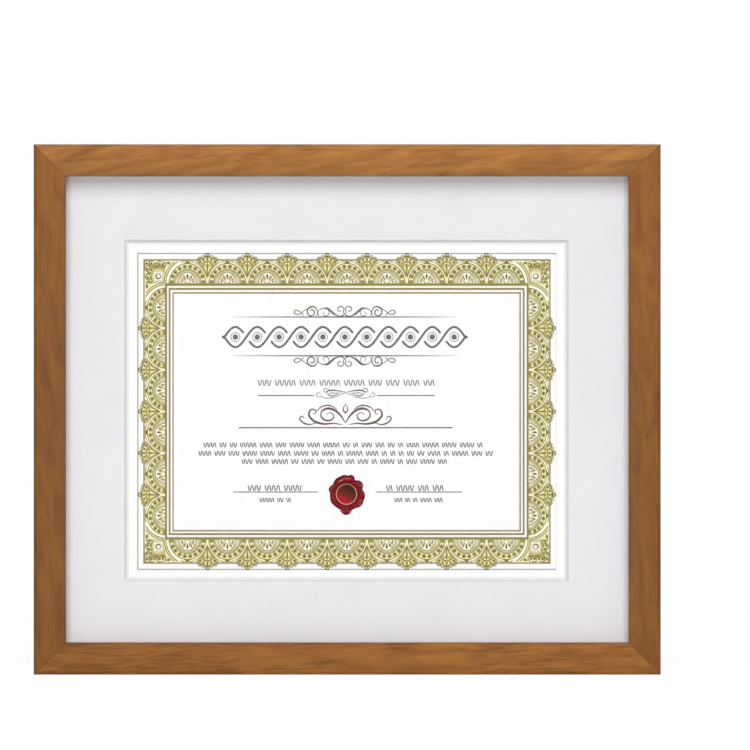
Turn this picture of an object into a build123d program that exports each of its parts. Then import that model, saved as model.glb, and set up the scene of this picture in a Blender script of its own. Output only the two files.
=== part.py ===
"""A certificate frame of mitred wooden rails with glass, mat, certificate and an easel back.

Millimetres, +Z up. The front of the frame faces -Y, and the origin is at the middle of the
bottom rail's underside, halfway through the depth of the moulding. Left is -X.
"""

from build123d import *
import os
from math import cos, radians, sin

# Moulding
SIGHT_WIDTH = 339.0
SIGHT_HEIGHT = 280.8
RAIL_FACE = 19.2
REBATE_WIDTH = 6.5
LIP_THICKNESS = 10.0
OUTER_EDGE_RADIUS = 2.2
INNER_EDGE_RADIUS = 1.5
BACK_EDGE_CHAMFER = 0.6

# Layers held in the rebate, front to back
GLASS_THICKNESS = 2.0
MAT_THICKNESS = 1.6
SHEET_THICKNESS = 0.3
FILLER_THICKNESS = 3.0
BACKING_THICKNESS = 3.0
STACK_SLACK = 0.1
PANE_CLEARANCE = 1.0
PANE_CORNER_RADIUS = 1.0

# Certificate and mat: a letter sheet behind a hand-cut window of nominally 8 by 10.5 inches
SHEET_WIDTH = 279.4
SHEET_HEIGHT = 215.9
WINDOW_WIDTH = 265.0
WINDOW_HEIGHT = 203.2
WINDOW_SIDE_STEP = -0.45
BEVEL_ANGLE = 45.0

# Wax seal on the certificate
SEAL_DROP = 50.2
SEAL_SIDE_STEP = -0.45
SEAL_RADIUS = 10.0
SEAL_RIM_HEIGHT = 1.2
SEAL_RIM_CHAMFER = 0.4
SEAL_DISH_HEIGHT = 0.6
SEAL_DISH_RADIUS = 6.9
SEAL_RING_RADIUS = 6.45
SEAL_RING_WIDTH = 0.7
SEAL_RING_RISE = 0.4

# Lobes of the seal: direction in degrees, reach from the middle, radius
SEAL_LOBES = (
    (118, 11.35, 5.0),
    (98, 11.7, 3.6),
    (75, 12.0, 2.4),
    (37, 11.7, 3.4),
    (-4, 11.3, 3.2),
    (-17, 11.05, 3.5),
    (-35, 11.35, 3.6),
    (-91.5, 12.5, 3.5),
    (207, 10.4, 5.0),
    (160, 11.2, 2.6),
)

# V-nails across the mitres, driven in from the back
V_NAIL_INSETS = (3.4, 7.4)
V_NAIL_LEG = 4.0
V_NAIL_GAUGE = 0.5
V_NAIL_DEPTH = 9.0
DRIVEN_FIT = 0.02

# Turn buttons
BUTTON_THICKNESS = 1.0
BUTTON_PIVOT_RADIUS = 5.4
BUTTON_TIP_RADIUS = 3.8
BUTTON_REACH = 17.0
BUTTON_PLAY = 0.05
BUTTON_BORE_FIT = 0.08
BUTTON_SPACING_LONG = 220.0
BUTTON_SPACING_SHORT = 150.0

# Screws of the turn buttons
SCREW_RADIUS = 1.4
SCREW_DEPTH = 8.0
SCREW_HEAD_RADIUS = 2.8
SCREW_HEAD_HEIGHT = 1.7
SCREW_HEAD_ROUNDING = 1.1
SCREW_SLOT_WIDTH = 0.7
SCREW_SLOT_LENGTH = 3.0
SCREW_SLOT_DEPTH = 0.8

# Sawtooth hangers
HANGER_LENGTH = 44.0
HANGER_HEIGHT = 8.4
HANGER_GAUGE = 0.7
HANGER_FOOT = 7.5
HANGER_RAMP = 2.5
HANGER_LIFT = 1.4
TOOTH_PITCH = 3.0
TOOTH_DEPTH = 1.8
NAIL_RADIUS = 0.7
NAIL_DEPTH = 9.0
NAIL_HEAD_RADIUS = 1.7
NAIL_HEAD_HEIGHT = 0.6

# Easel strut and its stop hinge
LEAN_ANGLE = 15.0
OPEN_ANGLE = 26.0
HINGE_HEIGHT = 222.0
STRUT_THICKNESS = 2.5
STRUT_GAP = 0.6
STRUT_TOP_WIDTH = 42.0
STRUT_FOOT_WIDTH = 78.0
STRUT_FOOT_RADIUS = 5.0
STRUT_TOP_CLEARANCE = 0.5
LEAF_THICKNESS = 0.8
LEAF_WIDTH = 36.0
LEAF_HEIGHT = 21.0
LEAF_CORNER_RADIUS = 3.0
MIDDLE_KNUCKLE_WIDTH = 14.0
KNUCKLE_CLEARANCE = 0.3
PIN_FIT = 0.05
PIN_OVERHANG = 0.4
STOP_WIDTH = 9.0
STOP_CLEARANCE = 0.1
RIVET_RADIUS = 1.5
RIVET_HEAD_RADIUS = 2.8
RIVET_HEAD_HEIGHT = 0.9
RIVET_HEAD_ROUNDING = 0.6
RIVET_SPACING = 22.0
RIVET_DROP = 13.0

# Sizes that follow from those above
outer_width = SIGHT_WIDTH + 2 * RAIL_FACE
outer_height = SIGHT_HEIGHT + 2 * RAIL_FACE
stack = GLASS_THICKNESS + MAT_THICKNESS + SHEET_THICKNESS + FILLER_THICKNESS + BACKING_THICKNESS
rebate_depth = stack + STACK_SLACK
depth = LIP_THICKNESS + rebate_depth
back_wood = RAIL_FACE - REBATE_WIDTH
fixing_line = back_wood / 2
pane_width = SIGHT_WIDTH + 2 * (REBATE_WIDTH - PANE_CLEARANCE)
pane_height = SIGHT_HEIGHT + 2 * (REBATE_WIDTH - PANE_CLEARANCE)
middle_height = outer_height / 2
pane_middle = middle_height - PANE_CLEARANCE

front_y = -depth / 2
back_y = depth / 2
glass_y = front_y + LIP_THICKNESS
mat_y = glass_y + GLASS_THICKNESS
sheet_y = mat_y + MAT_THICKNESS
filler_y = sheet_y + SHEET_THICKNESS
backing_y = filler_y + FILLER_THICKNESS
board_back_y = backing_y + BACKING_THICKNESS

# The hinge: both leaves are tangent to one knuckle, on the board's face and on the strut's back
strut_back = STRUT_GAP + STRUT_THICKNESS
knuckle_radius = (strut_back + LEAF_THICKNESS) / 2
pin_bore = knuckle_radius - LEAF_THICKNESS
pin_radius = pin_bore - PIN_FIT
pin_y = board_back_y + knuckle_radius
knuckle_room = knuckle_radius + KNUCKLE_CLEARANCE

# The strut's length lets the frame lean by LEAN_ANGLE on the foot when it is open
foot_offset = STRUT_GAP - knuckle_radius
pin_behind = pin_y - back_y
open_turn = radians(OPEN_ANGLE)
lean = radians(LEAN_ANGLE)
height_share = (HINGE_HEIGHT + foot_offset * sin(open_turn)) * cos(lean)
depth_share = (pin_behind + foot_offset * cos(open_turn)) * sin(lean)
strut_length = (height_share - depth_share) / cos(open_turn - lean)
strut_top = HINGE_HEIGHT - knuckle_room - STRUT_TOP_CLEARANCE
strut_foot = HINGE_HEIGHT - strut_length

# The stop tongue meets the board's leaf at OPEN_ANGLE
leaf_offset = knuckle_radius - LEAF_THICKNESS
stop_reach = (leaf_offset * (1 + cos(open_turn)) - STOP_CLEARANCE) / sin(open_turn)

os.makedirs("parts", exist_ok=True)


def save(piece, name):
    """Label a finished piece and write it as a file of that name."""
    piece.part.label = name
    export_step(piece.part, f"parts/{name}.step")


def facing_back(y):
    """The plane at depth y that faces the back, at the middle of the panes, which stand on the bottom rail."""
    return Plane(origin=(0, y, pane_middle), x_dir=(1, 0, 0), z_dir=(0, 1, 0))


def rail_plane(corner_x, corner_z, along):
    """A rail's back face: x runs along the rail from its first corner, y inwards, z into the wood."""
    return Plane(origin=(corner_x, back_y, corner_z), x_dir=along, z_dir=(0, -1, 0))


def leaf_plane(y):
    """The plane at depth y behind the hinge: x to the right, y up from the pin, z to the front."""
    return Plane(origin=(0, y, HINGE_HEIGHT), x_dir=(1, 0, 0), z_dir=(0, -1, 0))


# The rails run round the frame, each from the corner where the last one ends
rails = {
    "bottom_rail": (rail_plane(-outer_width / 2, 0, (1, 0, 0)), outer_width),
    "right_rail": (rail_plane(outer_width / 2, 0, (0, 0, 1)), outer_height),
    "top_rail": (rail_plane(outer_width / 2, outer_height, (-1, 0, 0)), outer_width),
    "left_rail": (rail_plane(-outer_width / 2, outer_height, (0, 0, -1)), outer_height),
}

# Turn buttons: the rail that carries each and its offset from the middle, along the rail
buttons = {
    "turn_button_bottom_left": ("bottom_rail", -BUTTON_SPACING_LONG / 2),
    "turn_button_bottom_right": ("bottom_rail", BUTTON_SPACING_LONG / 2),
    "turn_button_right_lower": ("right_rail", -BUTTON_SPACING_SHORT / 2),
    "turn_button_right_upper": ("right_rail", BUTTON_SPACING_SHORT / 2),
    "turn_button_top_right": ("top_rail", -BUTTON_SPACING_LONG / 2),
    "turn_button_top_left": ("top_rail", BUTTON_SPACING_LONG / 2),
    "turn_button_left_upper": ("left_rail", -BUTTON_SPACING_SHORT / 2),
    "turn_button_left_lower": ("left_rail", BUTTON_SPACING_SHORT / 2),
}

hangers = {"sawtooth_hanger_top": "top_rail", "sawtooth_hanger_side": "left_rail"}
nail_offset = (HANGER_LENGTH - HANGER_FOOT) / 2


def button_spots(rail_name):
    """The points on a rail's back face where its turn buttons are screwed."""
    length = rails[rail_name][1]
    return [(length / 2 + offset, fixing_line) for rail, offset in buttons.values() if rail == rail_name]


def nail_spots(rail_name):
    """The points on a rail's back face where a hanger is nailed."""
    if rail_name not in hangers.values():
        return []
    length = rails[rail_name][1]
    return [(length / 2 + side * nail_offset, fixing_line) for side in (-1, 1)]


# Rails: a rebated section, extruded and cut to mitres, with the holes that its fixings need
for rail_name, (back, length) in rails.items():
    section_plane = Plane(origin=back.origin, x_dir=back.y_dir, z_dir=back.x_dir)
    first_mitre = Plane(origin=back.origin, z_dir=back.x_dir - back.y_dir)
    last_mitre = Plane(origin=back.origin + back.x_dir * length, z_dir=-back.x_dir - back.y_dir)
    pocket_length = V_NAIL_LEG + V_NAIL_GAUGE + 2 * DRIVEN_FIT
    pocket_width = V_NAIL_GAUGE + 2 * DRIVEN_FIT
    pocket_middle = V_NAIL_LEG / 2
    with BuildPart() as rail:
        with BuildSketch(section_plane) as section:
            with BuildLine():
                Polyline(
                    (0, 0),
                    (back_wood, 0),
                    (back_wood, rebate_depth),
                    (RAIL_FACE, rebate_depth),
                    (RAIL_FACE, depth),
                    (0, depth),
                    close=True,
                )
            make_face()
            front_corners = section.vertices().group_by(Axis.Y)[-1].sort_by(Axis.X)
            fillet(front_corners[0], OUTER_EDGE_RADIUS)
            fillet(front_corners[1], INNER_EDGE_RADIUS)
            back_corner = section.vertices().group_by(Axis.Y)[0].sort_by(Axis.X)[0]
            chamfer(back_corner, BACK_EDGE_CHAMFER)
        extrude(amount=length)
        split(bisect_by=first_mitre)
        split(bisect_by=last_mitre)
        with BuildSketch(back):
            for inset in V_NAIL_INSETS:
                with Locations((inset + pocket_middle, inset), (length - inset - pocket_middle, inset)):
                    Rectangle(pocket_length, pocket_width)
        extrude(amount=V_NAIL_DEPTH + DRIVEN_FIT, mode=Mode.SUBTRACT)
        with BuildSketch(back):
            with Locations(*button_spots(rail_name)):
                Circle(SCREW_RADIUS + DRIVEN_FIT)
        extrude(amount=SCREW_DEPTH + DRIVEN_FIT, mode=Mode.SUBTRACT)
        if nail_spots(rail_name):
            with BuildSketch(back):
                with Locations(*nail_spots(rail_name)):
                    Circle(NAIL_RADIUS + DRIVEN_FIT)
            extrude(amount=NAIL_DEPTH + DRIVEN_FIT, mode=Mode.SUBTRACT)
    save(rail, rail_name)

# V-nails: two bent steel strips across each mitre, flush with the back
with BuildPart() as corner_v_nails:
    for back, _ in rails.values():
        with BuildSketch(back):
            for inset in V_NAIL_INSETS:
                with Locations((inset - V_NAIL_GAUGE / 2, inset - V_NAIL_GAUGE / 2)):
                    Rectangle(V_NAIL_LEG + V_NAIL_GAUGE, V_NAIL_GAUGE, align=Align.MIN)
                    Rectangle(V_NAIL_GAUGE, V_NAIL_LEG + V_NAIL_GAUGE, align=Align.MIN)
        extrude(amount=V_NAIL_DEPTH)
save(corner_v_nails, "corner_v_nails")

# Glass pane
with BuildPart() as glass_pane:
    with BuildSketch(facing_back(glass_y)):
        RectangleRounded(pane_width, pane_height, PANE_CORNER_RADIUS)
    extrude(amount=GLASS_THICKNESS)
save(glass_pane, "glass_pane")

# Mat board, its window cut with a bevel that opens towards the front
bevel_run = MAT_THICKNESS / sin(radians(BEVEL_ANGLE)) * cos(radians(BEVEL_ANGLE))
with BuildPart() as mat_board:
    with BuildSketch(facing_back(mat_y)):
        RectangleRounded(pane_width, pane_height, PANE_CORNER_RADIUS)
    extrude(amount=MAT_THICKNESS)
    with BuildSketch(facing_back(mat_y)):
        with Locations((WINDOW_SIDE_STEP, 0)):
            Rectangle(WINDOW_WIDTH + 2 * bevel_run, WINDOW_HEIGHT + 2 * bevel_run)
    extrude(amount=MAT_THICKNESS, taper=90 - BEVEL_ANGLE, mode=Mode.SUBTRACT)
save(mat_board, "mat_board")

# Certificate
with BuildPart() as certificate_sheet:
    with BuildSketch(facing_back(sheet_y)):
        Rectangle(SHEET_WIDTH, SHEET_HEIGHT)
    extrude(amount=SHEET_THICKNESS)
save(certificate_sheet, "certificate_sheet")

# Wax seal: a lobed pool whose rim stands round a pressed dish with a raised ring
seal_middle = (SEAL_SIDE_STEP, sheet_y, pane_middle - SEAL_DROP)
seal_plane = Plane(origin=seal_middle, x_dir=(1, 0, 0), z_dir=(0, -1, 0))
with BuildPart() as wax_seal:
    with BuildSketch(seal_plane):
        Circle(SEAL_RADIUS)
        for direction, reach, lobe_radius in SEAL_LOBES:
            with PolarLocations(reach - lobe_radius, 1, start_angle=direction):
                Circle(lobe_radius)
    extrude(amount=SEAL_RIM_HEIGHT)
    rim_edges = wax_seal.edges().group_by(Axis.Y)[0]
    chamfer(rim_edges, SEAL_RIM_CHAMFER)
    with BuildSketch(seal_plane.offset(SEAL_RIM_HEIGHT)):
        Circle(SEAL_DISH_RADIUS)
    extrude(amount=SEAL_DISH_HEIGHT - SEAL_RIM_HEIGHT, mode=Mode.SUBTRACT)
    with BuildSketch(seal_plane.offset(SEAL_DISH_HEIGHT)):
        Circle(SEAL_RING_RADIUS)
        Circle(SEAL_RING_RADIUS - SEAL_RING_WIDTH, mode=Mode.SUBTRACT)
    extrude(amount=SEAL_RING_RISE)
save(wax_seal, "wax_seal")

# Filler card
with BuildPart() as filler_card:
    with BuildSketch(facing_back(filler_y)):
        RectangleRounded(pane_width, pane_height, PANE_CORNER_RADIUS)
    extrude(amount=FILLER_THICKNESS)
save(filler_card, "filler_card")

# Backing board, with the holes of the hinge's rivets
board_rivet_spots = [(side * RIVET_SPACING / 2, RIVET_DROP) for side in (-1, 1)]
with BuildPart() as backing_board:
    with BuildSketch(facing_back(backing_y)):
        RectangleRounded(pane_width, pane_height, PANE_CORNER_RADIUS)
    extrude(amount=BACKING_THICKNESS)
    with BuildSketch(leaf_plane(board_back_y)):
        with Locations(*board_rivet_spots):
            Circle(RIVET_RADIUS + DRIVEN_FIT)
    extrude(amount=BACKING_THICKNESS, mode=Mode.SUBTRACT)
save(backing_board, "backing_board")

# Turn buttons: flat pear-shaped plates that reach over the backing board
for button_name, (rail_name, offset) in buttons.items():
    back, length = rails[rail_name]
    outer_face = back.offset(-BUTTON_PLAY - BUTTON_THICKNESS)
    pivot = (length / 2 + offset, fixing_line)
    tip = (length / 2 + offset, fixing_line + BUTTON_REACH)
    with BuildPart() as turn_button:
        with BuildSketch(outer_face):
            with Locations(pivot):
                Circle(BUTTON_PIVOT_RADIUS)
            with Locations(tip):
                Circle(BUTTON_TIP_RADIUS)
            make_hull()
            with Locations(pivot):
                Circle(SCREW_RADIUS + BUTTON_BORE_FIT, mode=Mode.SUBTRACT)
        extrude(amount=BUTTON_THICKNESS)
    save(turn_button, button_name)

# Screws of the turn buttons: pan heads with a crossed slot
head_seat = BUTTON_THICKNESS + 2 * BUTTON_PLAY
with BuildPart() as turn_button_screws:
    for rail_name, (back, length) in rails.items():
        spots = button_spots(rail_name)
        with BuildSketch(back.offset(-head_seat)):
            with Locations(*spots):
                Circle(SCREW_RADIUS)
        extrude(amount=head_seat + SCREW_DEPTH)
        with BuildSketch(back.offset(-head_seat)):
            with Locations(*spots):
                Circle(SCREW_HEAD_RADIUS)
        extrude(amount=-SCREW_HEAD_HEIGHT)
        with BuildSketch(back.offset(-head_seat - SCREW_HEAD_HEIGHT)):
            with Locations(*spots):
                Rectangle(SCREW_SLOT_LENGTH, SCREW_SLOT_WIDTH)
                Rectangle(SCREW_SLOT_WIDTH, SCREW_SLOT_LENGTH)
        extrude(amount=SCREW_SLOT_DEPTH, mode=Mode.SUBTRACT)
    crowns = turn_button_screws.edges().filter_by(GeomType.CIRCLE).group_by(Axis.Y)[-1]
    fillet(crowns, SCREW_HEAD_ROUNDING)
save(turn_button_screws, "turn_button_screws")

# Sawtooth hangers: a strip on two feet, lifted off the wood, with teeth on its inward edge
for hanger_name, rail_name in hangers.items():
    back, length = rails[rail_name]
    strip_start = back.origin + back.x_dir * (length / 2) + back.y_dir * (fixing_line - HANGER_HEIGHT / 2)
    strip_plane = Plane(origin=strip_start, x_dir=back.x_dir, z_dir=back.y_dir)
    foot_end = HANGER_LENGTH / 2 - HANGER_FOOT
    bar_end = foot_end - HANGER_RAMP
    tooth_count = int(2 * bar_end / TOOTH_PITCH)
    with BuildPart() as hanger:
        with BuildSketch(strip_plane):
            with BuildLine():
                Polyline(
                    (-HANGER_LENGTH / 2, HANGER_GAUGE / 2),
                    (-foot_end, HANGER_GAUGE / 2),
                    (-bar_end, HANGER_LIFT + HANGER_GAUGE / 2),
                    (bar_end, HANGER_LIFT + HANGER_GAUGE / 2),
                    (foot_end, HANGER_GAUGE / 2),
                    (HANGER_LENGTH / 2, HANGER_GAUGE / 2),
                )
            trace(line_width=HANGER_GAUGE)
        extrude(amount=HANGER_HEIGHT)
        with BuildSketch(back):
            with Locations((length / 2, fixing_line + HANGER_HEIGHT / 2)):
                with GridLocations(TOOTH_PITCH, 0, tooth_count, 1):
                    Polygon((-TOOTH_PITCH / 2, 0), (TOOTH_PITCH / 2, 0), (0, -TOOTH_DEPTH), align=None)
        extrude(amount=-2 * (HANGER_LIFT + HANGER_GAUGE), mode=Mode.SUBTRACT)
        with BuildSketch(back):
            with Locations(*nail_spots(rail_name)):
                Circle(NAIL_RADIUS + DRIVEN_FIT)
        extrude(amount=-2 * HANGER_GAUGE, mode=Mode.SUBTRACT)
    save(hanger, hanger_name)

# Nails of the hangers
with BuildPart() as hanger_nails:
    for rail_name in hangers.values():
        back, _ = rails[rail_name]
        with BuildSketch(back.offset(-HANGER_GAUGE)):
            with Locations(*nail_spots(rail_name)):
                Circle(NAIL_RADIUS)
        extrude(amount=HANGER_GAUGE + NAIL_DEPTH)
        with BuildSketch(back.offset(-HANGER_GAUGE)):
            with Locations(*nail_spots(rail_name)):
                Circle(NAIL_HEAD_RADIUS)
        extrude(amount=-NAIL_HEAD_HEIGHT)
save(hanger_nails, "hanger_nails")

# Hinge. Its section planes look along the pin: x is away from the board, y is up
outer_knuckle_width = (LEAF_WIDTH - MIDDLE_KNUCKLE_WIDTH) / 2 - KNUCKLE_CLEARANCE


def pin_plane(x):
    """The plane across the pin at x, with its centre on the pin's axis."""
    return Plane(origin=(x, pin_y, HINGE_HEIGHT), x_dir=(0, 1, 0), z_dir=(1, 0, 0))


# Leaf on the board: a plate above the pin with a knuckle at each end of its lower edge
with BuildPart() as hinge_board_leaf:
    with BuildSketch(leaf_plane(board_back_y + LEAF_THICKNESS)) as plate:
        with Locations((0, knuckle_room)):
            Rectangle(LEAF_WIDTH, LEAF_HEIGHT - knuckle_room, align=(Align.CENTER, Align.MIN))
        top_corners = plate.vertices().group_by(Axis.Y)[-1]
        fillet(top_corners, LEAF_CORNER_RADIUS)
        with Locations(*board_rivet_spots):
            Circle(RIVET_RADIUS + DRIVEN_FIT, mode=Mode.SUBTRACT)
    extrude(amount=LEAF_THICKNESS)
    for knuckle_start in (-LEAF_WIDTH / 2, LEAF_WIDTH / 2 - outer_knuckle_width):
        with BuildSketch(pin_plane(knuckle_start)):
            Circle(knuckle_radius)
            with Locations((-knuckle_radius, 0)):
                Rectangle(LEAF_THICKNESS, knuckle_room, align=Align.MIN)
            Circle(pin_bore, mode=Mode.SUBTRACT)
        extrude(amount=outer_knuckle_width)
save(hinge_board_leaf, "hinge_board_leaf")

# Leaf on the strut: a plate below the pin, one middle knuckle and a stop tongue above it
strut_rivet_spots = [(side * RIVET_SPACING / 2, -RIVET_DROP) for side in (-1, 1)]
strut_leaf_y = board_back_y + strut_back
with BuildPart() as hinge_strut_leaf:
    with BuildSketch(leaf_plane(strut_leaf_y + LEAF_THICKNESS)) as plate:
        with Locations((0, -knuckle_room)):
            Rectangle(LEAF_WIDTH, LEAF_HEIGHT - knuckle_room, align=(Align.CENTER, Align.MAX))
        foot_corners = plate.vertices().group_by(Axis.Y)[0]
        fillet(foot_corners, LEAF_CORNER_RADIUS)
        with Locations(*strut_rivet_spots):
            Circle(RIVET_RADIUS + DRIVEN_FIT, mode=Mode.SUBTRACT)
    extrude(amount=LEAF_THICKNESS)
    with BuildSketch(pin_plane(-MIDDLE_KNUCKLE_WIDTH / 2)):
        Circle(knuckle_radius)
        with Locations((knuckle_radius, 0)):
            Rectangle(LEAF_THICKNESS, knuckle_room, align=Align.MAX)
        Circle(pin_bore, mode=Mode.SUBTRACT)
    extrude(amount=MIDDLE_KNUCKLE_WIDTH)
    with BuildSketch(pin_plane(-STOP_WIDTH / 2)):
        with Locations((knuckle_radius, 0)):
            Rectangle(LEAF_THICKNESS, stop_reach, align=(Align.MAX, Align.MIN))
    extrude(amount=STOP_WIDTH)
save(hinge_strut_leaf, "hinge_strut_leaf")

# Hinge pin
with BuildPart() as hinge_pin:
    with BuildSketch(pin_plane(-LEAF_WIDTH / 2 - PIN_OVERHANG)):
        Circle(pin_radius)
    extrude(amount=LEAF_WIDTH + 2 * PIN_OVERHANG)
save(hinge_pin, "hinge_pin")


def build_rivets(name, leaf_back_y, spots, shank_length):
    """Write the rivets of one leaf: round heads on the leaf, shanks flush with the far face."""
    leaf_back = leaf_plane(leaf_back_y)
    with BuildPart() as rivets:
        with BuildSketch(leaf_back):
            with Locations(*spots):
                Circle(RIVET_RADIUS)
        extrude(amount=shank_length)
        with BuildSketch(leaf_back):
            with Locations(*spots):
                Circle(RIVET_HEAD_RADIUS)
        extrude(amount=-RIVET_HEAD_HEIGHT)
        crowns = rivets.edges().filter_by(GeomType.CIRCLE).group_by(Axis.Y)[-1]
        fillet(crowns, RIVET_HEAD_ROUNDING)
    save(rivets, name)


board_leaf_back = board_back_y + LEAF_THICKNESS
strut_leaf_back = strut_leaf_y + LEAF_THICKNESS
build_rivets("hinge_board_rivets", board_leaf_back, board_rivet_spots, LEAF_THICKNESS + BACKING_THICKNESS)
build_rivets("hinge_strut_rivets", strut_leaf_back, strut_rivet_spots, LEAF_THICKNESS + STRUT_THICKNESS)

# Easel strut: a board that widens to its foot
with BuildPart() as easel_strut:
    with BuildSketch(Plane(origin=(0, strut_leaf_y, 0), x_dir=(1, 0, 0), z_dir=(0, -1, 0))) as outline:
        with BuildLine():
            Polyline(
                (-STRUT_TOP_WIDTH / 2, strut_top),
                (STRUT_TOP_WIDTH / 2, strut_top),
                (STRUT_FOOT_WIDTH / 2, strut_foot),
                (-STRUT_FOOT_WIDTH / 2, strut_foot),
                close=True,
            )
        make_face()
        foot_corners = outline.vertices().group_by(Axis.Y)[0]
        fillet(foot_corners, STRUT_FOOT_RADIUS)
    extrude(amount=STRUT_THICKNESS)
    with BuildSketch(leaf_plane(strut_leaf_y)):
        with Locations(*strut_rivet_spots):
            Circle(RIVET_RADIUS + DRIVEN_FIT)
    extrude(amount=STRUT_THICKNESS, mode=Mode.SUBTRACT)
save(easel_strut, "easel_strut")
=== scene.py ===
"""Looks of a certificate frame: mitred rails, glass, mat, printed certificate, wax seal and easel back.

Sizes in the classes are millimetres in the frame's own axes: x to the right, y to the back, z up.
"""

import logging
import math
import random
from collections.abc import Iterator, Sequence
from dataclasses import dataclass, field
from enum import Enum

import bmesh
import bpy
from mathutils import Matrix, Vector


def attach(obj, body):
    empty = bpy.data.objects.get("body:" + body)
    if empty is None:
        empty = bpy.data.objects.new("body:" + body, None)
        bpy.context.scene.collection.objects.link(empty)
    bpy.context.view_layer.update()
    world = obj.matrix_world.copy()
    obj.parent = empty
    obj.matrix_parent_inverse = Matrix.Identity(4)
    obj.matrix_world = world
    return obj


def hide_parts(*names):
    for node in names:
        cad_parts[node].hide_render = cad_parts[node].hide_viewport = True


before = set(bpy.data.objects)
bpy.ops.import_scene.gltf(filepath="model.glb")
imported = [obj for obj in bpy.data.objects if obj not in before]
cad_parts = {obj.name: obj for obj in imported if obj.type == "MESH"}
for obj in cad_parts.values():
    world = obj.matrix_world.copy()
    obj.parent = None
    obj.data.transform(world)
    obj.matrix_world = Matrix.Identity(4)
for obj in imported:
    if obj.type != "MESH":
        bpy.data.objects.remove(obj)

MM = 0.001
WHITE = "#ffffff"
LOG = logging.getLogger("certificate_frame")
Point = tuple[float, float]
Place = tuple[float, float, float]
Mesh = bpy.types.Mesh
Socket = bpy.types.NodeSocket


class Body(Enum):
    """Bodies that several pieces ride on; each turn button is a body of its own name."""

    FRAME = "frame"
    STRUT = "strut"


class Slot(Enum):
    """Material slots of the record; new pieces are not given them here."""

    ZINC_STEEL = "zinc_steel"
    CERTIFICATE_PAPER = "certificate_paper"
    SEAL_WAX = "seal_wax"
    HARDBOARD = "hardboard"


class Grain(Enum):
    """Direction of a rail's grain, as the turn about y that brings it onto x."""

    ACROSS = 0.0
    UPRIGHT = math.pi / 2


def linear(colour: str | float | Sequence[float]) -> tuple[float, float, float, float]:
    """Turn a colour into linear light.

    Args:
        colour: An sRGB colour as "#rrggbb", or levels that are linear already, one for a grey or three.

    Returns:
        Red, green, blue and an alpha of one.
    """
    if isinstance(colour, str):
        parts = [int(colour[i : i + 2], 16) / 255 for i in (1, 3, 5)]
        colour = [c / 12.92 if c <= 0.04045 else ((c + 0.055) / 1.055) ** 2.4 for c in parts]
    elif isinstance(colour, float):
        colour = [colour] * 3
    return *colour, 1.0


def repeats(size: float) -> float:
    """How often a pattern of this size in millimetres repeats in a metre."""
    return 1.0 / (size * MM)


def add_node(
    tree: bpy.types.NodeTree, kind: str, sockets: dict | None = None, **settings: object
) -> bpy.types.Node:
    """Add a node, set its properties and fill or link its inputs.

    Args:
        tree: Tree that gets the node.
        kind: Node type.
        sockets: Values for inputs by name or number; an output socket is linked instead.
        settings: Properties of the node.

    Returns:
        The new node.
    """
    node = tree.nodes.new(kind)
    for name, value in settings.items():
        setattr(node, name, value)
    for key, value in (sockets or {}).items():
        if isinstance(value, Socket):
            tree.links.new(value, node.inputs[key])
        else:
            node.inputs[key].default_value = value
    return node


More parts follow.
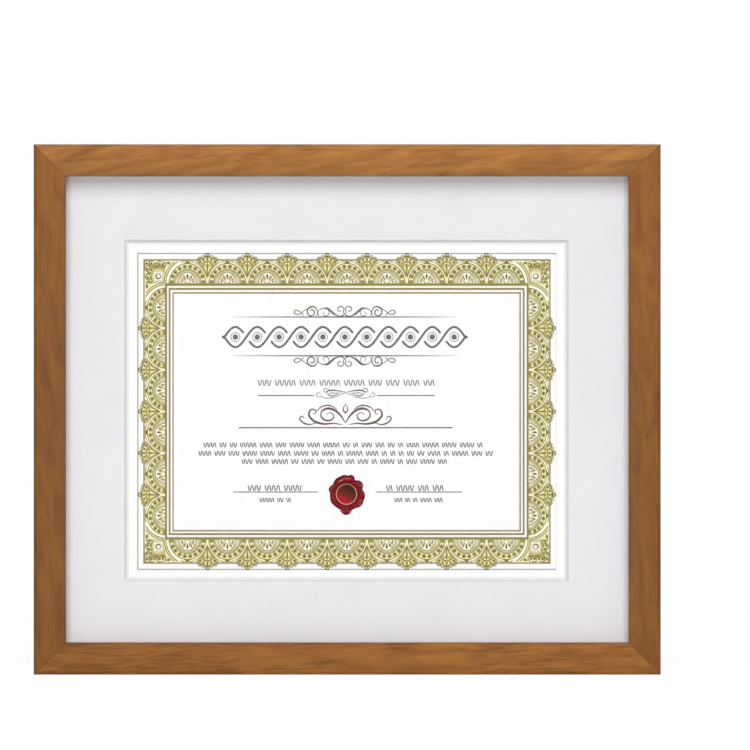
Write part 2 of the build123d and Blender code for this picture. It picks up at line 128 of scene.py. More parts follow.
class Graph:
    """A node tree, with a short way to add each kind of node that several finishes use."""

    def __init__(self, tree: bpy.types.NodeTree) -> None:
        """Take the tree that the nodes go into."""
        self.tree = tree

    def add(
        self, kind: str, sockets: dict | None = None, output: int | str = 0, **settings: object
    ) -> Socket:
        """Add a node and return one of its outputs."""
        return add_node(self.tree, kind, sockets, **settings).outputs[output]

    def place(self) -> Socket:
        """Coordinates on the object, in metres."""
        return self.add("ShaderNodeTexCoord", output="Object")

    def axes(self, vector: Socket) -> tuple[Socket, ...]:
        """The x, y and z of a vector."""
        return tuple(self.add("ShaderNodeSeparateXYZ", {"Vector": vector}).node.outputs)

    def length(self, vector: Socket) -> Socket:
        """The length of a vector."""
        return self.add("ShaderNodeVectorMath", {0: vector}, "Value", operation="LENGTH")

    def mapped(self, vector: Socket, **sockets: Place) -> Socket:
        """Coordinates moved, turned or scaled."""
        return self.add("ShaderNodeMapping", {"Vector": vector, **sockets})

    def noise(self, vector: Socket, scale: float = 1.0, **sockets: float) -> Socket:
        """A cloudy factor that repeats this often in each unit."""
        return self.add("ShaderNodeTexNoise", {"Vector": vector, "Scale": scale, **sockets}, "Fac")

    def streaks(self, vector: Socket, size: Point, turn: float = 0.0, **sockets: float) -> Socket:
        """A cloudy factor whose marks have this length and width in millimetres."""
        scale = tuple(repeats(side) for side in (*size, size[1]))
        return self.noise(self.mapped(vector, Rotation=(0.0, turn, 0.0), Scale=scale), **sockets)

    def calc(self, operation: str, *values: Socket | float) -> Socket:
        """One number worked out from up to three others."""
        return self.add("ShaderNodeMath", dict(enumerate(values)), operation=operation)

    def span(self, value: Socket, *limits: Socket | float, curve: str = "LINEAR") -> Socket:
        """Take a number from one range to another, never past its ends.

        Args:
            value: The number.
            limits: Start and end of the first range, then of the second; both are 0 to 1 unless given.
            curve: How the number goes from one end to the other.

        Returns:
            The new number.
        """
        names = ("From Min", "From Max", "To Min", "To Max")
        sockets = {"Value": value, **dict(zip(names, limits))}
        return self.add("ShaderNodeMapRange", sockets, "Result", interpolation_type=curve)

    def mix(
        self, share: Socket | float, first: Socket | str, second: Socket | str, blend: str = "MIX"
    ) -> Socket:
        """Mix two colours, each an output or a hex colour.

        Args:
            share: Share of the second colour.
            first: First colour.
            second: Second colour.
            blend: How the second lies on the first.

        Returns:
            The mixed colour.
        """
        low, high = (linear(c) if isinstance(c, str) else c for c in (first, second))
        return self.add("ShaderNodeMix", {0: share, 6: low, 7: high}, 2, data_type="RGBA", blend_type=blend)

    def ramp(
        self, share: Socket, stops: dict[float, str | float | Sequence[float]], curve: str = "LINEAR"
    ) -> Socket:
        """Turn a share into a colour.

        Args:
            share: Number from nought to one.
            stops: Colour at each position, in order, in any form that linear takes.
            curve: How the ramp goes from stop to stop.

        Returns:
            The colour.
        """
        colour = self.add("ShaderNodeValToRGB", {"Fac": share}, "Color")
        colour.node.color_ramp.interpolation = curve
        elements = colour.node.color_ramp.elements
        while len(elements) < len(stops):
            elements.new(1.0)
        for element, (position, stop) in zip(elements, stops.items()):
            element.position = position
            element.color = linear(stop)
        return colour

    def bump(self, height: Socket, strength: float, depth: float) -> Socket:
        """Normals of a relief of this depth in millimetres."""
        return self.add("ShaderNodeBump", {"Strength": strength, "Distance": depth * MM, "Height": height})


class Finish:
    """A real material; subclasses say how its nodes are laid out."""

    name: str

    def material(self) -> bpy.types.Material:
        """Give the finish's material, built the first time that it is asked for.

        Returns:
            The material.
        """
        found = bpy.data.materials.get(self.name)
        if found:
            return found
        made = bpy.data.materials.new(self.name)
        made.use_nodes = True
        made.node_tree.nodes.clear()
        surface = self.shade(Graph(made.node_tree))
        add_node(made.node_tree, "ShaderNodeOutputMaterial", {"Surface": surface})
        return made

    def shade(self, graph: Graph) -> Socket:
        """Build the nodes and return the shader's output."""
        raise NotImplementedError


@dataclass(frozen=True)
class LacqueredWood(Finish):
    """Brown-stained fruitwood under satin lacquer: blotchy slanting figure, fibres, grain dashes and pores.

    Marks in the wood are given by their length, their width and their slant to the grain in radians.
    """

    name: str
    grain: Grain
    tone: str
    # The three tints are painted light and shade across the face: the outer arris, the outer band and the
    # inner edge.
    painted_edge_light: float
    outer_tint: float
    painted_inner_shade: float
    # Painted light falloff along the rail from its left or lower end; the side rails grow brighter towards
    # the top.
    run: tuple[float, ...]
    shift: Place
    figure: Place = (26.0, 7.0, 0.1)
    figure_depth: float = 0.22
    fibre: Place = (60.0, 1.1, 0.04)
    pore: Place = (6.0, 0.7, 0.12)
    dash: Place = (13.0, 0.9, 0.03)
    dash_depth: float = 0.08
    cluster: Place = (45.0, 14.0, 0.1)
    outer_width: float = 377.4
    outer_height: float = 319.2
    rail_face: float = 19.2
    arris: float = 7.8
    mitre_line: float = 0.32
    glue_tint: float = 0.45

    def shade(self, graph: Graph) -> Socket:
        """Lay out figure, fibre, dashes, pores, painted sheen and shade across the face, a painted light
        falloff along it and the mitres' glue line.

        Args:
            graph: Nodes of the material.

        Returns:
            The shader's output.
        """
        place = graph.place()
        turned = graph.mapped(place, Location=self.shift, Rotation=(0.0, self.grain.value, 0.0))

        def marks(shape: Place, **sockets: float) -> Socket:
            """Noise whose marks have this length, width and slant."""
            leaning = graph.mapped(turned, Rotation=(0.0, shape[2], 0.0))
            return graph.streaks(leaning, shape[:2], **sockets)

        fibre = marks(self.fibre, Detail=4.0, Roughness=0.6)
        red, green, blue, _ = linear(self.tone)
        low, high = 1.0 - self.figure_depth, 1.0 + self.figure_depth
        blotches = graph.ramp(
            marks(self.figure, Detail=3.0, Distortion=0.7),
            {
                0.26: (red * low, green * low * 0.9, blue * low * 0.88),
                0.5: (red, green, blue),
                0.76: (red * high, green * high * 1.08, blue * high * 1.02),
            },
        )
        fibres = graph.ramp(fibre, {0.25: 0.9, 0.75: 1.07})
        pores = graph.ramp(marks(self.pore, Detail=1.0), {0.24: 0.74, 0.34: 1.0})
        gathered = graph.calc("MULTIPLY_ADD", marks(self.cluster), 0.9, marks(self.dash, Detail=2.0))
        dashes = graph.span(gathered, 1.0, 1.1, 1.0, 1.0 - self.dash_depth)

        x, y, z = graph.axes(place)
        half_width, half_height = self.outer_width / 2 * MM, self.outer_height / 2 * MM
        from_side = graph.calc("SUBTRACT", half_width, graph.calc("ABSOLUTE", x))
        level = graph.calc("ABSOLUTE", graph.calc("SUBTRACT", z, half_height))
        from_end = graph.calc("SUBTRACT", half_height, level)
        share = graph.span(graph.calc("MINIMUM", from_side, from_end), 0.0, self.rail_face * MM)
        on_side = graph.span(y, -self.arris * MM, 0.0, 0.0, 0.5)
        # Painted light and shade across the face: a pale painted sheen on the outer arris (painted shade
        # where its tint is below one), a faint outer band with a darker line, painted shade on the inner
        # edge.
        edge, outer, inner = self.painted_edge_light, self.outer_tint, self.painted_inner_shade
        painted_profile_light = graph.ramp(
            graph.calc("MAXIMUM", share, on_side),
            {
                0.03: (edge, edge * 1.22, edge * 1.85),
                0.065: (outer, outer, outer * 1.05),
                0.16: (outer, outer * 0.98, outer * 0.97),
                0.18: outer * 0.92,
                0.22: outer,
                0.5: 1.0,
                0.93: inner,
                1.0: inner * 0.8,
            },
        )
        off_mitre = graph.calc("ABSOLUTE", graph.calc("SUBTRACT", from_side, from_end))
        line = self.mitre_line * MM
        glue_line = graph.span(off_mitre, line * 0.3, line, self.glue_tint)
        # Painted light falloff along the rail: the run's factors from its left or lower end to its other end.
        if self.grain is Grain.UPRIGHT:
            along = graph.span(z, 0.0, 2 * half_height)
        else:
            along = graph.span(x, -half_width, half_width)
        last = len(self.run) - 1
        run = graph.ramp(along, {i / last: tint for i, tint in enumerate(self.run)}, "EASE")

        colour = blotches
        for layer in (fibres, pores, painted_profile_light, run, dashes, glue_line):
            colour = graph.mix(1.0, colour, layer, "MULTIPLY")
        return graph.add(
            "ShaderNodeBsdfPrincipled",
            {
                "Base Color": colour,
                "Roughness": graph.span(fibre, 0.0, 1.0, 0.5, 0.38),
                "Normal": graph.bump(graph.calc("MULTIPLY", pores, fibre), 0.2, 0.06),
                "Specular IOR Level": 0.12,
                "Coat Weight": 0.05,
                "Coat Roughness": 0.25,
            },
        )


@dataclass(frozen=True)
class PictureGlass(Finish):
    """Coated picture glass: nearly nothing head-on, gloss that grows at a slant, faint wiping streaks."""

    name: str = "coated_picture_glass"
    gloss_ior: float = 1.16
    streak: float = 22.0
    roughness: Point = (0.015, 0.06)

    def shade(self, graph: Graph) -> Socket:
        """Mix a clear pane with its surface gloss, on faces that look outwards only.

        Args:
            graph: Nodes of the material.

        Returns:
            The shader's output.
        """
        wiped = graph.noise(graph.place(), repeats(self.streak), Detail=3.0)
        clear = graph.add("ShaderNodeBsdfTransparent", {"Color": linear(WHITE)})
        gloss = graph.add("ShaderNodeBsdfGlossy", {"Roughness": graph.span(wiped, 0.0, 1.0, *self.roughness)})
        fresnel = graph.add("ShaderNodeFresnel", {"IOR": self.gloss_ior})
        outside = graph.calc("SUBTRACT", 1.0, graph.add("ShaderNodeNewGeometry", output="Backfacing"))
        share = graph.calc("MULTIPLY", fresnel, outside)
        return graph.add("ShaderNodeMixShader", {0: share, 1: clear, 2: gloss})


@dataclass(frozen=True)
class FibreSheet(Finish):
    """Paper, card or board pressed from fibres: a cloudy formation, fine flecks and a soft tooth."""

    name: str
    light: str
    dark: str
    fleck: str
    cloud: float
    fleck_size: Point
    fleck_share: float
    roughness: float
    tooth: float
    # Colour for sloping cut faces: a greyer painted shade on the bevel.
    cut: str = ""
    # The window's edges, for a painted shade along the foot of the mat's cut.
    opening: tuple[float, ...] = ()
    painted_foot_shade: float = 0.82
    foot_width: float = 2.4
    fleck_turns: Point = (0.5, 1.9)

    def shade(self, graph: Graph) -> Socket:
        """Lay out formation, flecks in two directions, a cut edge, a painted shade at a mat's foot and the
        tooth.

        Args:
            graph: Nodes of the material.

        Returns:
            The shader's output.
        """
        place = graph.place()
        cloud = graph.noise(place, repeats(self.cloud), Detail=5.0)
        colour = graph.ramp(cloud, {0.3: self.dark, 0.7: self.light})
        flecks = []
        for turn in self.fleck_turns:
            flecks.append(graph.streaks(place, self.fleck_size, turn, Detail=2.0))
            mask = graph.span(flecks[-1], 0.58, 0.72, 0.0, self.fleck_share)
            colour = graph.mix(mask, colour, self.fleck)
        # Painted shade: faces that slope away from the front, such as the mat's bevel, take the greyer cut
        # colour.
        if self.cut:
            _, facing, _ = graph.axes(graph.add("ShaderNodeNewGeometry", output="True Normal"))
            sloped = graph.span(graph.calc("ABSOLUTE", facing), 0.95, 0.85)
            colour = graph.mix(sloped, colour, self.cut)
        # Painted shade: the paper darkens near the window's edge, where the mat's cut would keep the light
        # off it.
        if self.opening:
            x, _, z = graph.axes(place)
            left, low, right, high = (edge * MM for edge in self.opening)
            nearest = graph.calc("SUBTRACT", x, left)
            for first, second in ((right, x), (z, low), (high, z)):
                nearest = graph.calc("MINIMUM", nearest, graph.calc("SUBTRACT", first, second))
            foot = graph.span(nearest, 0.0, self.foot_width * MM, self.painted_foot_shade, curve="SMOOTHSTEP")
            colour = graph.mix(1.0, colour, foot, "MULTIPLY")
        return graph.add(
            "ShaderNodeBsdfPrincipled",
            {
                "Base Color": colour,
                "Roughness": self.roughness,
                "Normal": graph.bump(graph.calc("ADD", *flecks), 0.25, self.tooth),
                "Specular IOR Level": 0.12,
            },
        )


@dataclass(frozen=True)
class PrintInk(Finish):
    """Printing ink soaked into paper: matt, with a slightly uneven film."""

    name: str
    colour: str
    unevenness: float = 0.06
    patch: float = 6.0

    def shade(self, graph: Graph) -> Socket:
        """Vary the density of the ink a little over patches of a few millimetres.

        Args:
            graph: Nodes of the material.

        Returns:
            The shader's output.
        """
        film = graph.noise(graph.place(), repeats(self.patch), Detail=3.0)
        *levels, _ = linear(self.colour)
        full = [level * (1.0 - self.unevenness) for level in levels]
        thin = [min(level * (1.0 + self.unevenness), 1.0) for level in levels]
        density = graph.ramp(film, {0.25: full, 0.75: thin})
        sockets = {"Base Color": density, "Roughness": 0.65, "Specular IOR Level": 0.1}
        return graph.add("ShaderNodeBsdfPrincipled", sockets)


@dataclass(frozen=True)
class SealingWax(Finish):
    """Red sealing wax, poured and pressed: glossy swells with painted highlights and shade, a ring coloured
    pale as its painted highlight, and a dish with painted shade at its top.
    """

    name: str
    middle: Point
    ring: float
    ring_width: float
    # Rim colours from the ring's foot to the pool's edge: foot, wine and edge are painted shade, bright is a
    # painted highlight on the crest.
    foot: str = "#621c12"
    red: str = "#701416"
    bright: str = "#84181e"
    wine: str = "#680e24"
    edge: str = "#4c0616"
    # Colour of the painted shade on steep faces.
    steep_face_shade: str = "#34040c"
    # Colour of the painted shade in the rim's dark folds.
    fold: str = "#4a0408"
    # Dish colours are painted light: painted shade at the top, warm in the middle, a lit red at the lower
    # left.
    dish_painted_shade: str = "#3f2016"
    warm: str = "#702a24"
    dish: str = "#b2182a"
    # The ring's pale colour is a painted highlight, darkened towards its top as painted shade.
    pale_ring_highlight: str = "#dca38f"
    ring_top_shade: str = "#a87a62"
    # Colour of the painted highlights on the rim.
    bloom: str = "#f48484"
    sheen: str = "#ff8c84"
    swirl: float = 3.2
    ring_band_share: float = 0.32
    ring_band_blur: float = 0.06

    def shade(self, graph: Graph) -> Socket:
        """Colour the pool, the dish and the ring by their distance from the seal's middle, with painted light
        and shade.

        Args:
            graph: Nodes of the material.

        Returns:
            The shader's output.
        """
        place = graph.place()
        centred = graph.mapped(place, Location=(-self.middle[0] * MM, 0.0, -self.middle[1] * MM))
        x, _, z = graph.axes(centred)
        reach = graph.length(graph.add("ShaderNodeCombineXYZ", {"X": x, "Z": z}))
        swirl = graph.noise(place, repeats(self.swirl), Detail=3.0, Distortion=1.2)
        # rim_share places the colours across the rim; the second attribute holds the painted highlights and
        # painted shade of the streaks.
        share, painted_light_share = (
            graph.add("ShaderNodeAttribute", output="Fac", attribute_name=name)
            for name in ("rim_share", "bloom")
        )
        _, facing, _ = graph.axes(graph.add("ShaderNodeNewGeometry", output="Normal"))
        ring, half, blur = self.ring * MM, self.ring_width * self.ring_band_share * MM, self.ring_band_blur * MM
        edges = (ring - half, ring + half)
        in_dish, in_ring = (graph.span(reach, edge + blur, edge - blur) for edge in edges)
        # Painted light across the dish: painted shade at its top right, a lit red towards its lower left.
        down = graph.span(graph.calc("MULTIPLY_ADD", x, 0.6, z), ring * 0.75, -ring * 0.8)
        dish_painted_light = graph.ramp(down, {0.0: self.dish_painted_shade, 0.66: self.warm, 1.0: self.dish})
        # Painted light on the ring: a pale painted highlight, darker towards its top as painted shade.
        painted_ring_light = graph.mix(graph.span(z, ring * 0.5, ring), self.pale_ring_highlight, self.ring_top_shade)
        # Painted light and shade across the rim: painted shade by the ring, a painted highlight on the crest,
        # painted shade down the outer slope to a dark edge.
        stops = {0.0: self.foot, 0.32: self.red, 0.56: self.bright, 0.76: self.wine, 1.0: self.edge}
        colour = graph.ramp(share, stops)
        for cover, over in (
            (graph.span(swirl, 0.5, 0.75, 0.0, 0.4), self.bright),
            # Painted shade in folds, then painted highlights, from the rim's streaks.
            (graph.span(painted_light_share, 0.0, -1.0), self.fold),
            (graph.span(painted_light_share), self.bloom),
            # Painted shade on faces that turn away from the front.
            (graph.span(graph.calc("ABSOLUTE", facing), 0.8, 0.4), self.steep_face_shade),
            (in_dish, dish_painted_light),
            (graph.calc("SUBTRACT", in_ring, in_dish), painted_ring_light),
        ):
            colour = graph.mix(cover, colour, over)
        return graph.add(
            "ShaderNodeBsdfPrincipled",
            {
                "Base Color": colour,
                "Roughness": 0.18,
                "Normal": graph.bump(swirl, 0.25, 0.1),
                "Specular IOR Level": 0.18,
                "Specular Tint": linear(self.sheen),
            },
        )


@dataclass(frozen=True)
class PlatedSteel(Finish):
    """Pressed steel: a grey metal with rolling lines and, where it is zinc plated, a cloudy bluish film."""

    name: str
    light: str
    dark: str
    roughness: float
    spangle: float = 5.0
    rolling: Point = (30.0, 0.35)

    def shade(self, graph: Graph) -> Socket:
        """Cloud the plating and scratch it along the rolling direction.

        Args:
            graph: Nodes of the material.

        Returns:
            The shader's output.
        """
        place = graph.place()
        cloud = graph.noise(place, repeats(self.spangle), Detail=4.0)
        lines = graph.streaks(place, self.rolling, Detail=2.0)
        return graph.add(
            "ShaderNodeBsdfPrincipled",
            {
                "Base Color": graph.ramp(cloud, {0.3: self.dark, 0.7: self.light}),
                "Metallic": 1.0,
                "Roughness": graph.span(lines, 0.0, 1.0, self.roughness - 0.08, self.roughness + 0.1),
                "Normal": graph.bump(lines, 0.12, 0.03),
            },
        )


MAT_CARD = FibreSheet(
    # White mat board: a smooth faced card with a faint formation; its cut bevel is coloured greyer as painted
    # shade.
    "white_mat_board", "#eaeaed", "#e7e7ea", "#e2e2e6", cloud=40.0, fleck_size=(3.0, 0.35),
    fleck_share=0.35, roughness=0.85, tooth=0.02, cut="#dfdfe3",
)
PAPER = FibreSheet(
    # Smooth white certificate paper: bright, barely clouded, with a soft painted shade along the foot of the
    # mat's cut.
    "smooth_white_paper", "#fbfbfb", "#f9f9f9", "#f6f6f6", cloud=30.0, fleck_size=(2.0, 0.3),
    fleck_share=0.3, roughness=0.8, tooth=0.01, opening=(-132.95, 57.0, 132.05, 260.2),
)
KRAFT = FibreSheet(
    # Grey-brown filler card made from waste paper: cloudy with dark flecks.
    "kraft_filler_card", "#b89a72", "#a58863", "#7d6344", cloud=12.0, fleck_size=(2.5, 0.4),
    fleck_share=0.6, roughness=0.9, tooth=0.05,
)
HARDBOARD = FibreSheet(
    # Tempered hardboard: a smooth brown face with long pale and dark wood fibres.
    "tempered_hardboard", "#886240", "#7b5637", "#54371f", cloud=60.0, fleck_size=(6.0, 0.5),
    fleck_share=0.6, roughness=0.55, tooth=0.05,
)
ZINC = PlatedSteel("zinc_plated_steel", "#c9ccd0", "#a9adb4", 0.34)
STEEL = PlatedSteel("plain_spring_steel", "#9b9a98", "#74736f", 0.4)


class Ink(Enum):
    """Inks of the certificate, from the lowest film to the highest: finish and level above the paper."""

    IVORY = (PrintInk("ink_ivory", "#f1eac8", 0.02), 0.005)
    GOLD = (PrintInk("ink_gold", "#c6bb79"), 0.035)
    BEIGE = (PrintInk("ink_beige", "#dcd4b1"), 0.065)
    CREAM = (PrintInk("ink_cream", "#eee8b1", 0.03), 0.095)
    WHITE = (PrintInk("ink_white", "#fdf8e4", 0.02), 0.125)
    MOSS = (PrintInk("ink_moss", "#aca262"), 0.155)
    OLIVE = (PrintInk("ink_olive", "#8c834a"), 0.185)
    DARK = (PrintInk("ink_dark_olive", "#665e2a"), 0.215)
    GLINT = (PrintInk("ink_pale_glint", "#fffbec", 0.02), 0.245)
    SAGE = (PrintInk("ink_pale_sage", "#a6a98c"), 0.03)
    TAN = (PrintInk("ink_tan", "#9f9069"), 0.03)
    GREY = (PrintInk("ink_warm_grey", "#6d6d68"), 0.03)
    SLATE = (PrintInk("ink_slate", "#4c4a48"), 0.03)
    BROWN = (PrintInk("ink_brown_grey", "#6a5d56"), 0.03)

    @property
    def finish(self) -> PrintInk:
        """Finish of the ink."""
        return self.value[0]

    @property
    def level(self) -> float:
        """Height of the film above the paper, in millimetres."""
        return self.value[1]


def box(left: float, low: float, right: float, high: float) -> list[Point]:
    """The corners of a rectangle, anticlockwise."""
    return [(left, low), (right, low), (right, high), (left, high)]


def full_turn(steps: int) -> list[float]:
    """Equal turns once round, in radians."""
    return [2 * math.pi * i / steps for i in range(steps)]


def ellipse(half: Point, turns: Sequence[float], x: float = 0.0, z: float = 0.0) -> list[Point]:
    """Points of an ellipse of these half axes at these turns."""
    return [(x + half[0] * math.cos(t), z + half[1] * math.sin(t)) for t in turns]


def smooth_path(points: Sequence[Point], steps: int = 6) -> list[Point]:
    """Draw a smooth line through given points.

    Args:
        points: Points that the line passes through.
        steps: Short runs between two points.

    Returns:
        Points along the line.
    """
    ends = [points[0], *points, points[-1]]
    line = []
    for i in range(len(points) - 1):
        for t in (step / steps for step in range(steps)):
            pull = (2 * t**2 - t - t**3, 2 - 5 * t**2 + 3 * t**3, t + 4 * t**2 - 3 * t**3, t**3 - t**2)
            x, z = (sum(p * c for p, c in zip(pull, axis)) / 2 for axis in zip(*ends[i : i + 4]))
            line.append((x, z))
    line.append(points[-1])
    return line


def to_mesh(shape: bmesh.types.BMesh, name: str) -> Mesh:
    """Turn a finished bmesh into a mesh.

    Args:
        shape: The bmesh, which is freed.
        name: Name of the mesh.

    Returns:
        The mesh.
    """
    mesh = bpy.data.meshes.new(name)
    shape.to_mesh(mesh)
    shape.free()
    return mesh


class Film:
    """Thin closed shapes of one ink, drawn in millimetres, x to the right and z up.

    Each shape lies a hair above the one before it, so that shapes that cross never share a face.
    """

    layers: int = 5
    layer_step: float = 0.005
    strip_rise: float = 0.002

    def __init__(self) -> None:
        """Start with no shapes and the pen at the middle."""
        self.outlines: list[list[Point]] = []
        self.strips: list[tuple[list[Point], list[Point], bool]] = []
        self.at()

    def at(self, x: float = 0.0, z: float = 0.0, flip_x: int = 1, flip_z: int = 1) -> "Film":
        """Move the pen's own middle and say whether it draws mirrored."""
        self.pen = (x, z, flip_x, flip_z)
        return self

    def _set(self, points: Sequence[Point]) -> list[Point]:
        """Take points from the pen's frame to the sheet's."""
        x, z, flip_x, flip_z = self.pen
        return [(x + flip_x * u, z + flip_z * v) for u, v in points]

    def fill(self, points: Sequence[Point]) -> None:
        """Add a filled outline, drawn anticlockwise in the pen's frame."""
        placed = self._set(points)
        self.outlines.append(placed if self.pen[2] * self.pen[3] > 0 else placed[::-1])

    def strip(self, left: Sequence[Point], right: Sequence[Point], closed: bool = False) -> None:
        """Add a band between two edges.

        Args:
            left: Edge on the left in the direction of travel.
            right: Edge on the right.
            closed: Whether the band's end meets its start.
        """
        sides = [self._set(left), self._set(right)]
        if self.pen[2] * self.pen[3] < 0:
            sides.reverse()
        self.strips.append((sides[0], sides[1], closed))

    def disc(self, x: float, z: float, radius: float, steps: int = 10) -> None:
        """Add a round dot."""
        self.fill(ellipse((radius, radius), full_turn(steps), x, z))

    def ring(self, x: float, z: float, radius: float, width: float, steps: int = 14) -> None:
        """Add a round line."""
        sizes = (radius - width / 2, radius + width / 2)
        self.strip(*(ellipse((size, size), full_turn(steps), x, z) for size in sizes), closed=True)

    def arch(
        self, outer: Point, inner: Point, start: float = 0.0, end: float = 180.0, steps: int = 22
    ) -> None:
        """Add a band between two half ellipses on the base line.

        Args:
            outer: Half width and height of the outer edge.
            inner: Half width and height of the inner edge.
            start: First angle in degrees.
            end: Last angle in degrees.
            steps: Short runs along the band.
        """
        turns = [math.radians(start + (end - start) * i / steps) for i in range(steps + 1)]
        self.strip(ellipse(inner, turns), ellipse(outer, turns))

    def petal(self, base: Point, tip: Point, width: float) -> None:
        """Add a drop with its point at the base and its round end at the tip.

        Args:
            base: Where the point is.
            tip: Where the round end is.
            width: Its greatest width.
        """
        along = Vector(tip) - Vector(base)
        side = Vector((-along.y, along.x)).normalized() * width / 2
        shape = [(0.0, 0.0), (0.35, -0.6), (0.65, -1.0), (0.88, -0.75), (1.0, 0.0)]
        shape += [(t, -s) for t, s in shape[-2:0:-1]]
        self.fill([tuple(Vector(base) + along * t + side * s) for t, s in shape])

    def stroke(self, points: Sequence[Point], widths: Sequence[float], steps: int = 6) -> None:
        """Add a pen stroke whose width changes along a smooth line.

        Args:
            points: Points that the stroke passes through.
            widths: Widths at equal shares of the stroke's length.
            steps: Short runs between two points.
        """
        line = [Vector(p) for p in smooth_path(points, steps)]
        last = len(line) - 1
        left, right = [], []
        for i, point in enumerate(line):
            ahead = line[min(i + 1, last)] - line[max(i - 1, 0)]
            normal = Vector((-ahead.y, ahead.x)).normalized()
            share = i / last * (len(widths) - 1)
            k = min(int(share), len(widths) - 2)
            half = (widths[k] + (widths[k + 1] - widths[k]) * (share - k)) / 2
            left.append(tuple(point + normal * half))
            right.append(tuple(point - normal * half))
        self.strip(left, right)

    def rule(self, half: Point, width: float, sides: Point) -> None:
        """Add a rectangular line round the pen's middle.

        Args:
            half: Half of the rectangle's width and height.
            width: Width of the line at the top and bottom.
            sides: Width of the left and of the right side.
        """
        edges = []
        for grow in (-0.5, 0.5):
            z = half[1] + grow * width
            edges.append(box(-half[0] - grow * sides[0], -z, half[0] + grow * sides[1], z))
        self.strip(*edges, closed=True)

    def mesh(self, name: str, middle: Vector, front: float, back: float) -> Mesh:
        """Turn the shapes into one mesh of thin closed films.

        Args:
            name: Name of the mesh.
            middle: Where the drawing's middle is, in millimetres.
            front: y of the ink's lowest face.
            back: y of its underside, just inside the paper.

        Returns:
            The mesh, in metres.
        """
        shape = bmesh.new()

        def pair(point: Point, face: float) -> list[bmesh.types.BMVert]:
            """The front and back vertex of one drawn point."""
            x, z = middle.x + point[0], middle.z + point[1]
            return [shape.verts.new((x * MM, y * MM, z * MM)) for y in (face, back)]

        def wall(a: list, b: list) -> None:
            """The edge of the film from one drawn point to the next, ink on the left."""
            shape.faces.new((a[0], a[1], b[1], b[0]))

        for index, outline in enumerate(self.outlines):
            face = front - index % self.layers * self.layer_step
            corners = [pair(p, face) for p in outline]
            shape.faces.new([c[0] for c in corners])
            shape.faces.new([c[1] for c in reversed(corners)])
            for i, corner in enumerate(corners):
                wall(corner, corners[(i + 1) % len(corners)])
        for index, (left, right, closed) in enumerate(self.strips):
            count = len(left)
            face = front - (index % self.layers + 0.5) * self.layer_step
            rise = 0.0 if closed else self.strip_rise / count
            lefts, rights = ([pair(p, face - rise * i) for i, p in enumerate(e)] for e in (left, right))
            for i in range(count if closed else count - 1):
                j = (i + 1) % count
                shape.faces.new((rights[i][0], rights[j][0], lefts[j][0], lefts[i][0]))
                shape.faces.new((lefts[i][1], lefts[j][1], rights[j][1], rights[i][1]))
                wall(rights[i], rights[j])
                wall(lefts[j], lefts[i])
            if not closed:
                wall(lefts[0], rights[0])
                wall(rights[-1], lefts[-1])
        return to_mesh(shape, name)


class Drawing(dict[Ink, Film]):
    """One film of each ink; the pens can be moved together."""

    def __init__(self) -> None:
        """Start with an empty film of each ink."""
        super().__init__({ink: Film() for ink in Ink})

    def pens(self, *inks: Ink) -> list[Film]:
        """The films of these inks."""
        return [self[ink] for ink in inks]

    def at(self, x: float = 0.0, z: float = 0.0, flip_x: int = 1, flip_z: int = 1) -> None:
        """Move the middle of every pen and say whether they draw mirrored."""
        for film in self.values():
            film.at(x, z, flip_x, flip_z)

    def both_sides(self) -> Iterator[int]:
        """Turn every pen to the left and then to the right, and bring it back at the end.

        Yields:
            The side, -1 or 1.
        """
        for side in (-1, 1):
            self.at(flip_x=side)
            yield side
        self.at()


def link_helper(name: str, mesh: Mesh) -> bpy.types.Object:
    """Link a new object with this mesh.

    Args:
        name: Name of the object.
        mesh: Its mesh.

    Returns:
        The object.
    """
    helper = bpy.data.objects.new(name, mesh)
    bpy.context.scene.collection.objects.link(helper)
    return helper


def plain_mesh(helper: bpy.types.Object, name: str) -> Mesh:
    """Turn a helper's evaluated shape into a plain mesh and remove the helper.

    Args:
        helper: Object with modifiers.
        name: Name of the new mesh.

    Returns:
        The evaluated mesh.
    """
    graph = bpy.context.evaluated_depsgraph_get()
    mesh = bpy.data.meshes.new_from_object(helper.evaluated_get(graph), depsgraph=graph)
    mesh.name = name
    helper.modifiers.clear()
    bpy.data.objects.remove(helper)
    return mesh


def join_meshes(name: str, parts: Sequence[Mesh]) -> Mesh:
    """Put several meshes of one finish into one.

    Args:
        name: Name of the new mesh.
        parts: Meshes to join; they are removed.

    Returns:
        The joined mesh.
    """
    shape = bmesh.new()
    for part in parts:
        shape.from_mesh(part)
        bpy.data.meshes.remove(part)
    return to_mesh(shape, name)


def smooth_mesh(mesh: Mesh, angle: float) -> Mesh:
    """Shade a mesh smooth apart from its sharp edges.

    Args:
        mesh: The mesh.
        angle: Angle in degrees from which an edge is sharp.

    Returns:
        The same mesh.
    """
    mesh.shade_smooth()
    mesh.set_sharp_from_angle(angle=math.radians(angle))
    return mesh


def flat_map(mesh: Mesh) -> None:
    """Give a flat print a UV map laid straight on from the front.

    Args:
        mesh: Mesh of the print.
    """
    xs = [v.co.x for v in mesh.vertices]
    zs = [v.co.z for v in mesh.vertices]
    left, low = min(xs), min(zs)
    size = max(max(xs) - left, max(zs) - low)
    layer = mesh.uv_layers.new(name="OFBake")
    for loop, uv in zip(mesh.loops, layer.uv):
        place = mesh.vertices[loop.vertex_index].co
        uv.vector = ((place.x - left) / size, (place.z - low) / size)


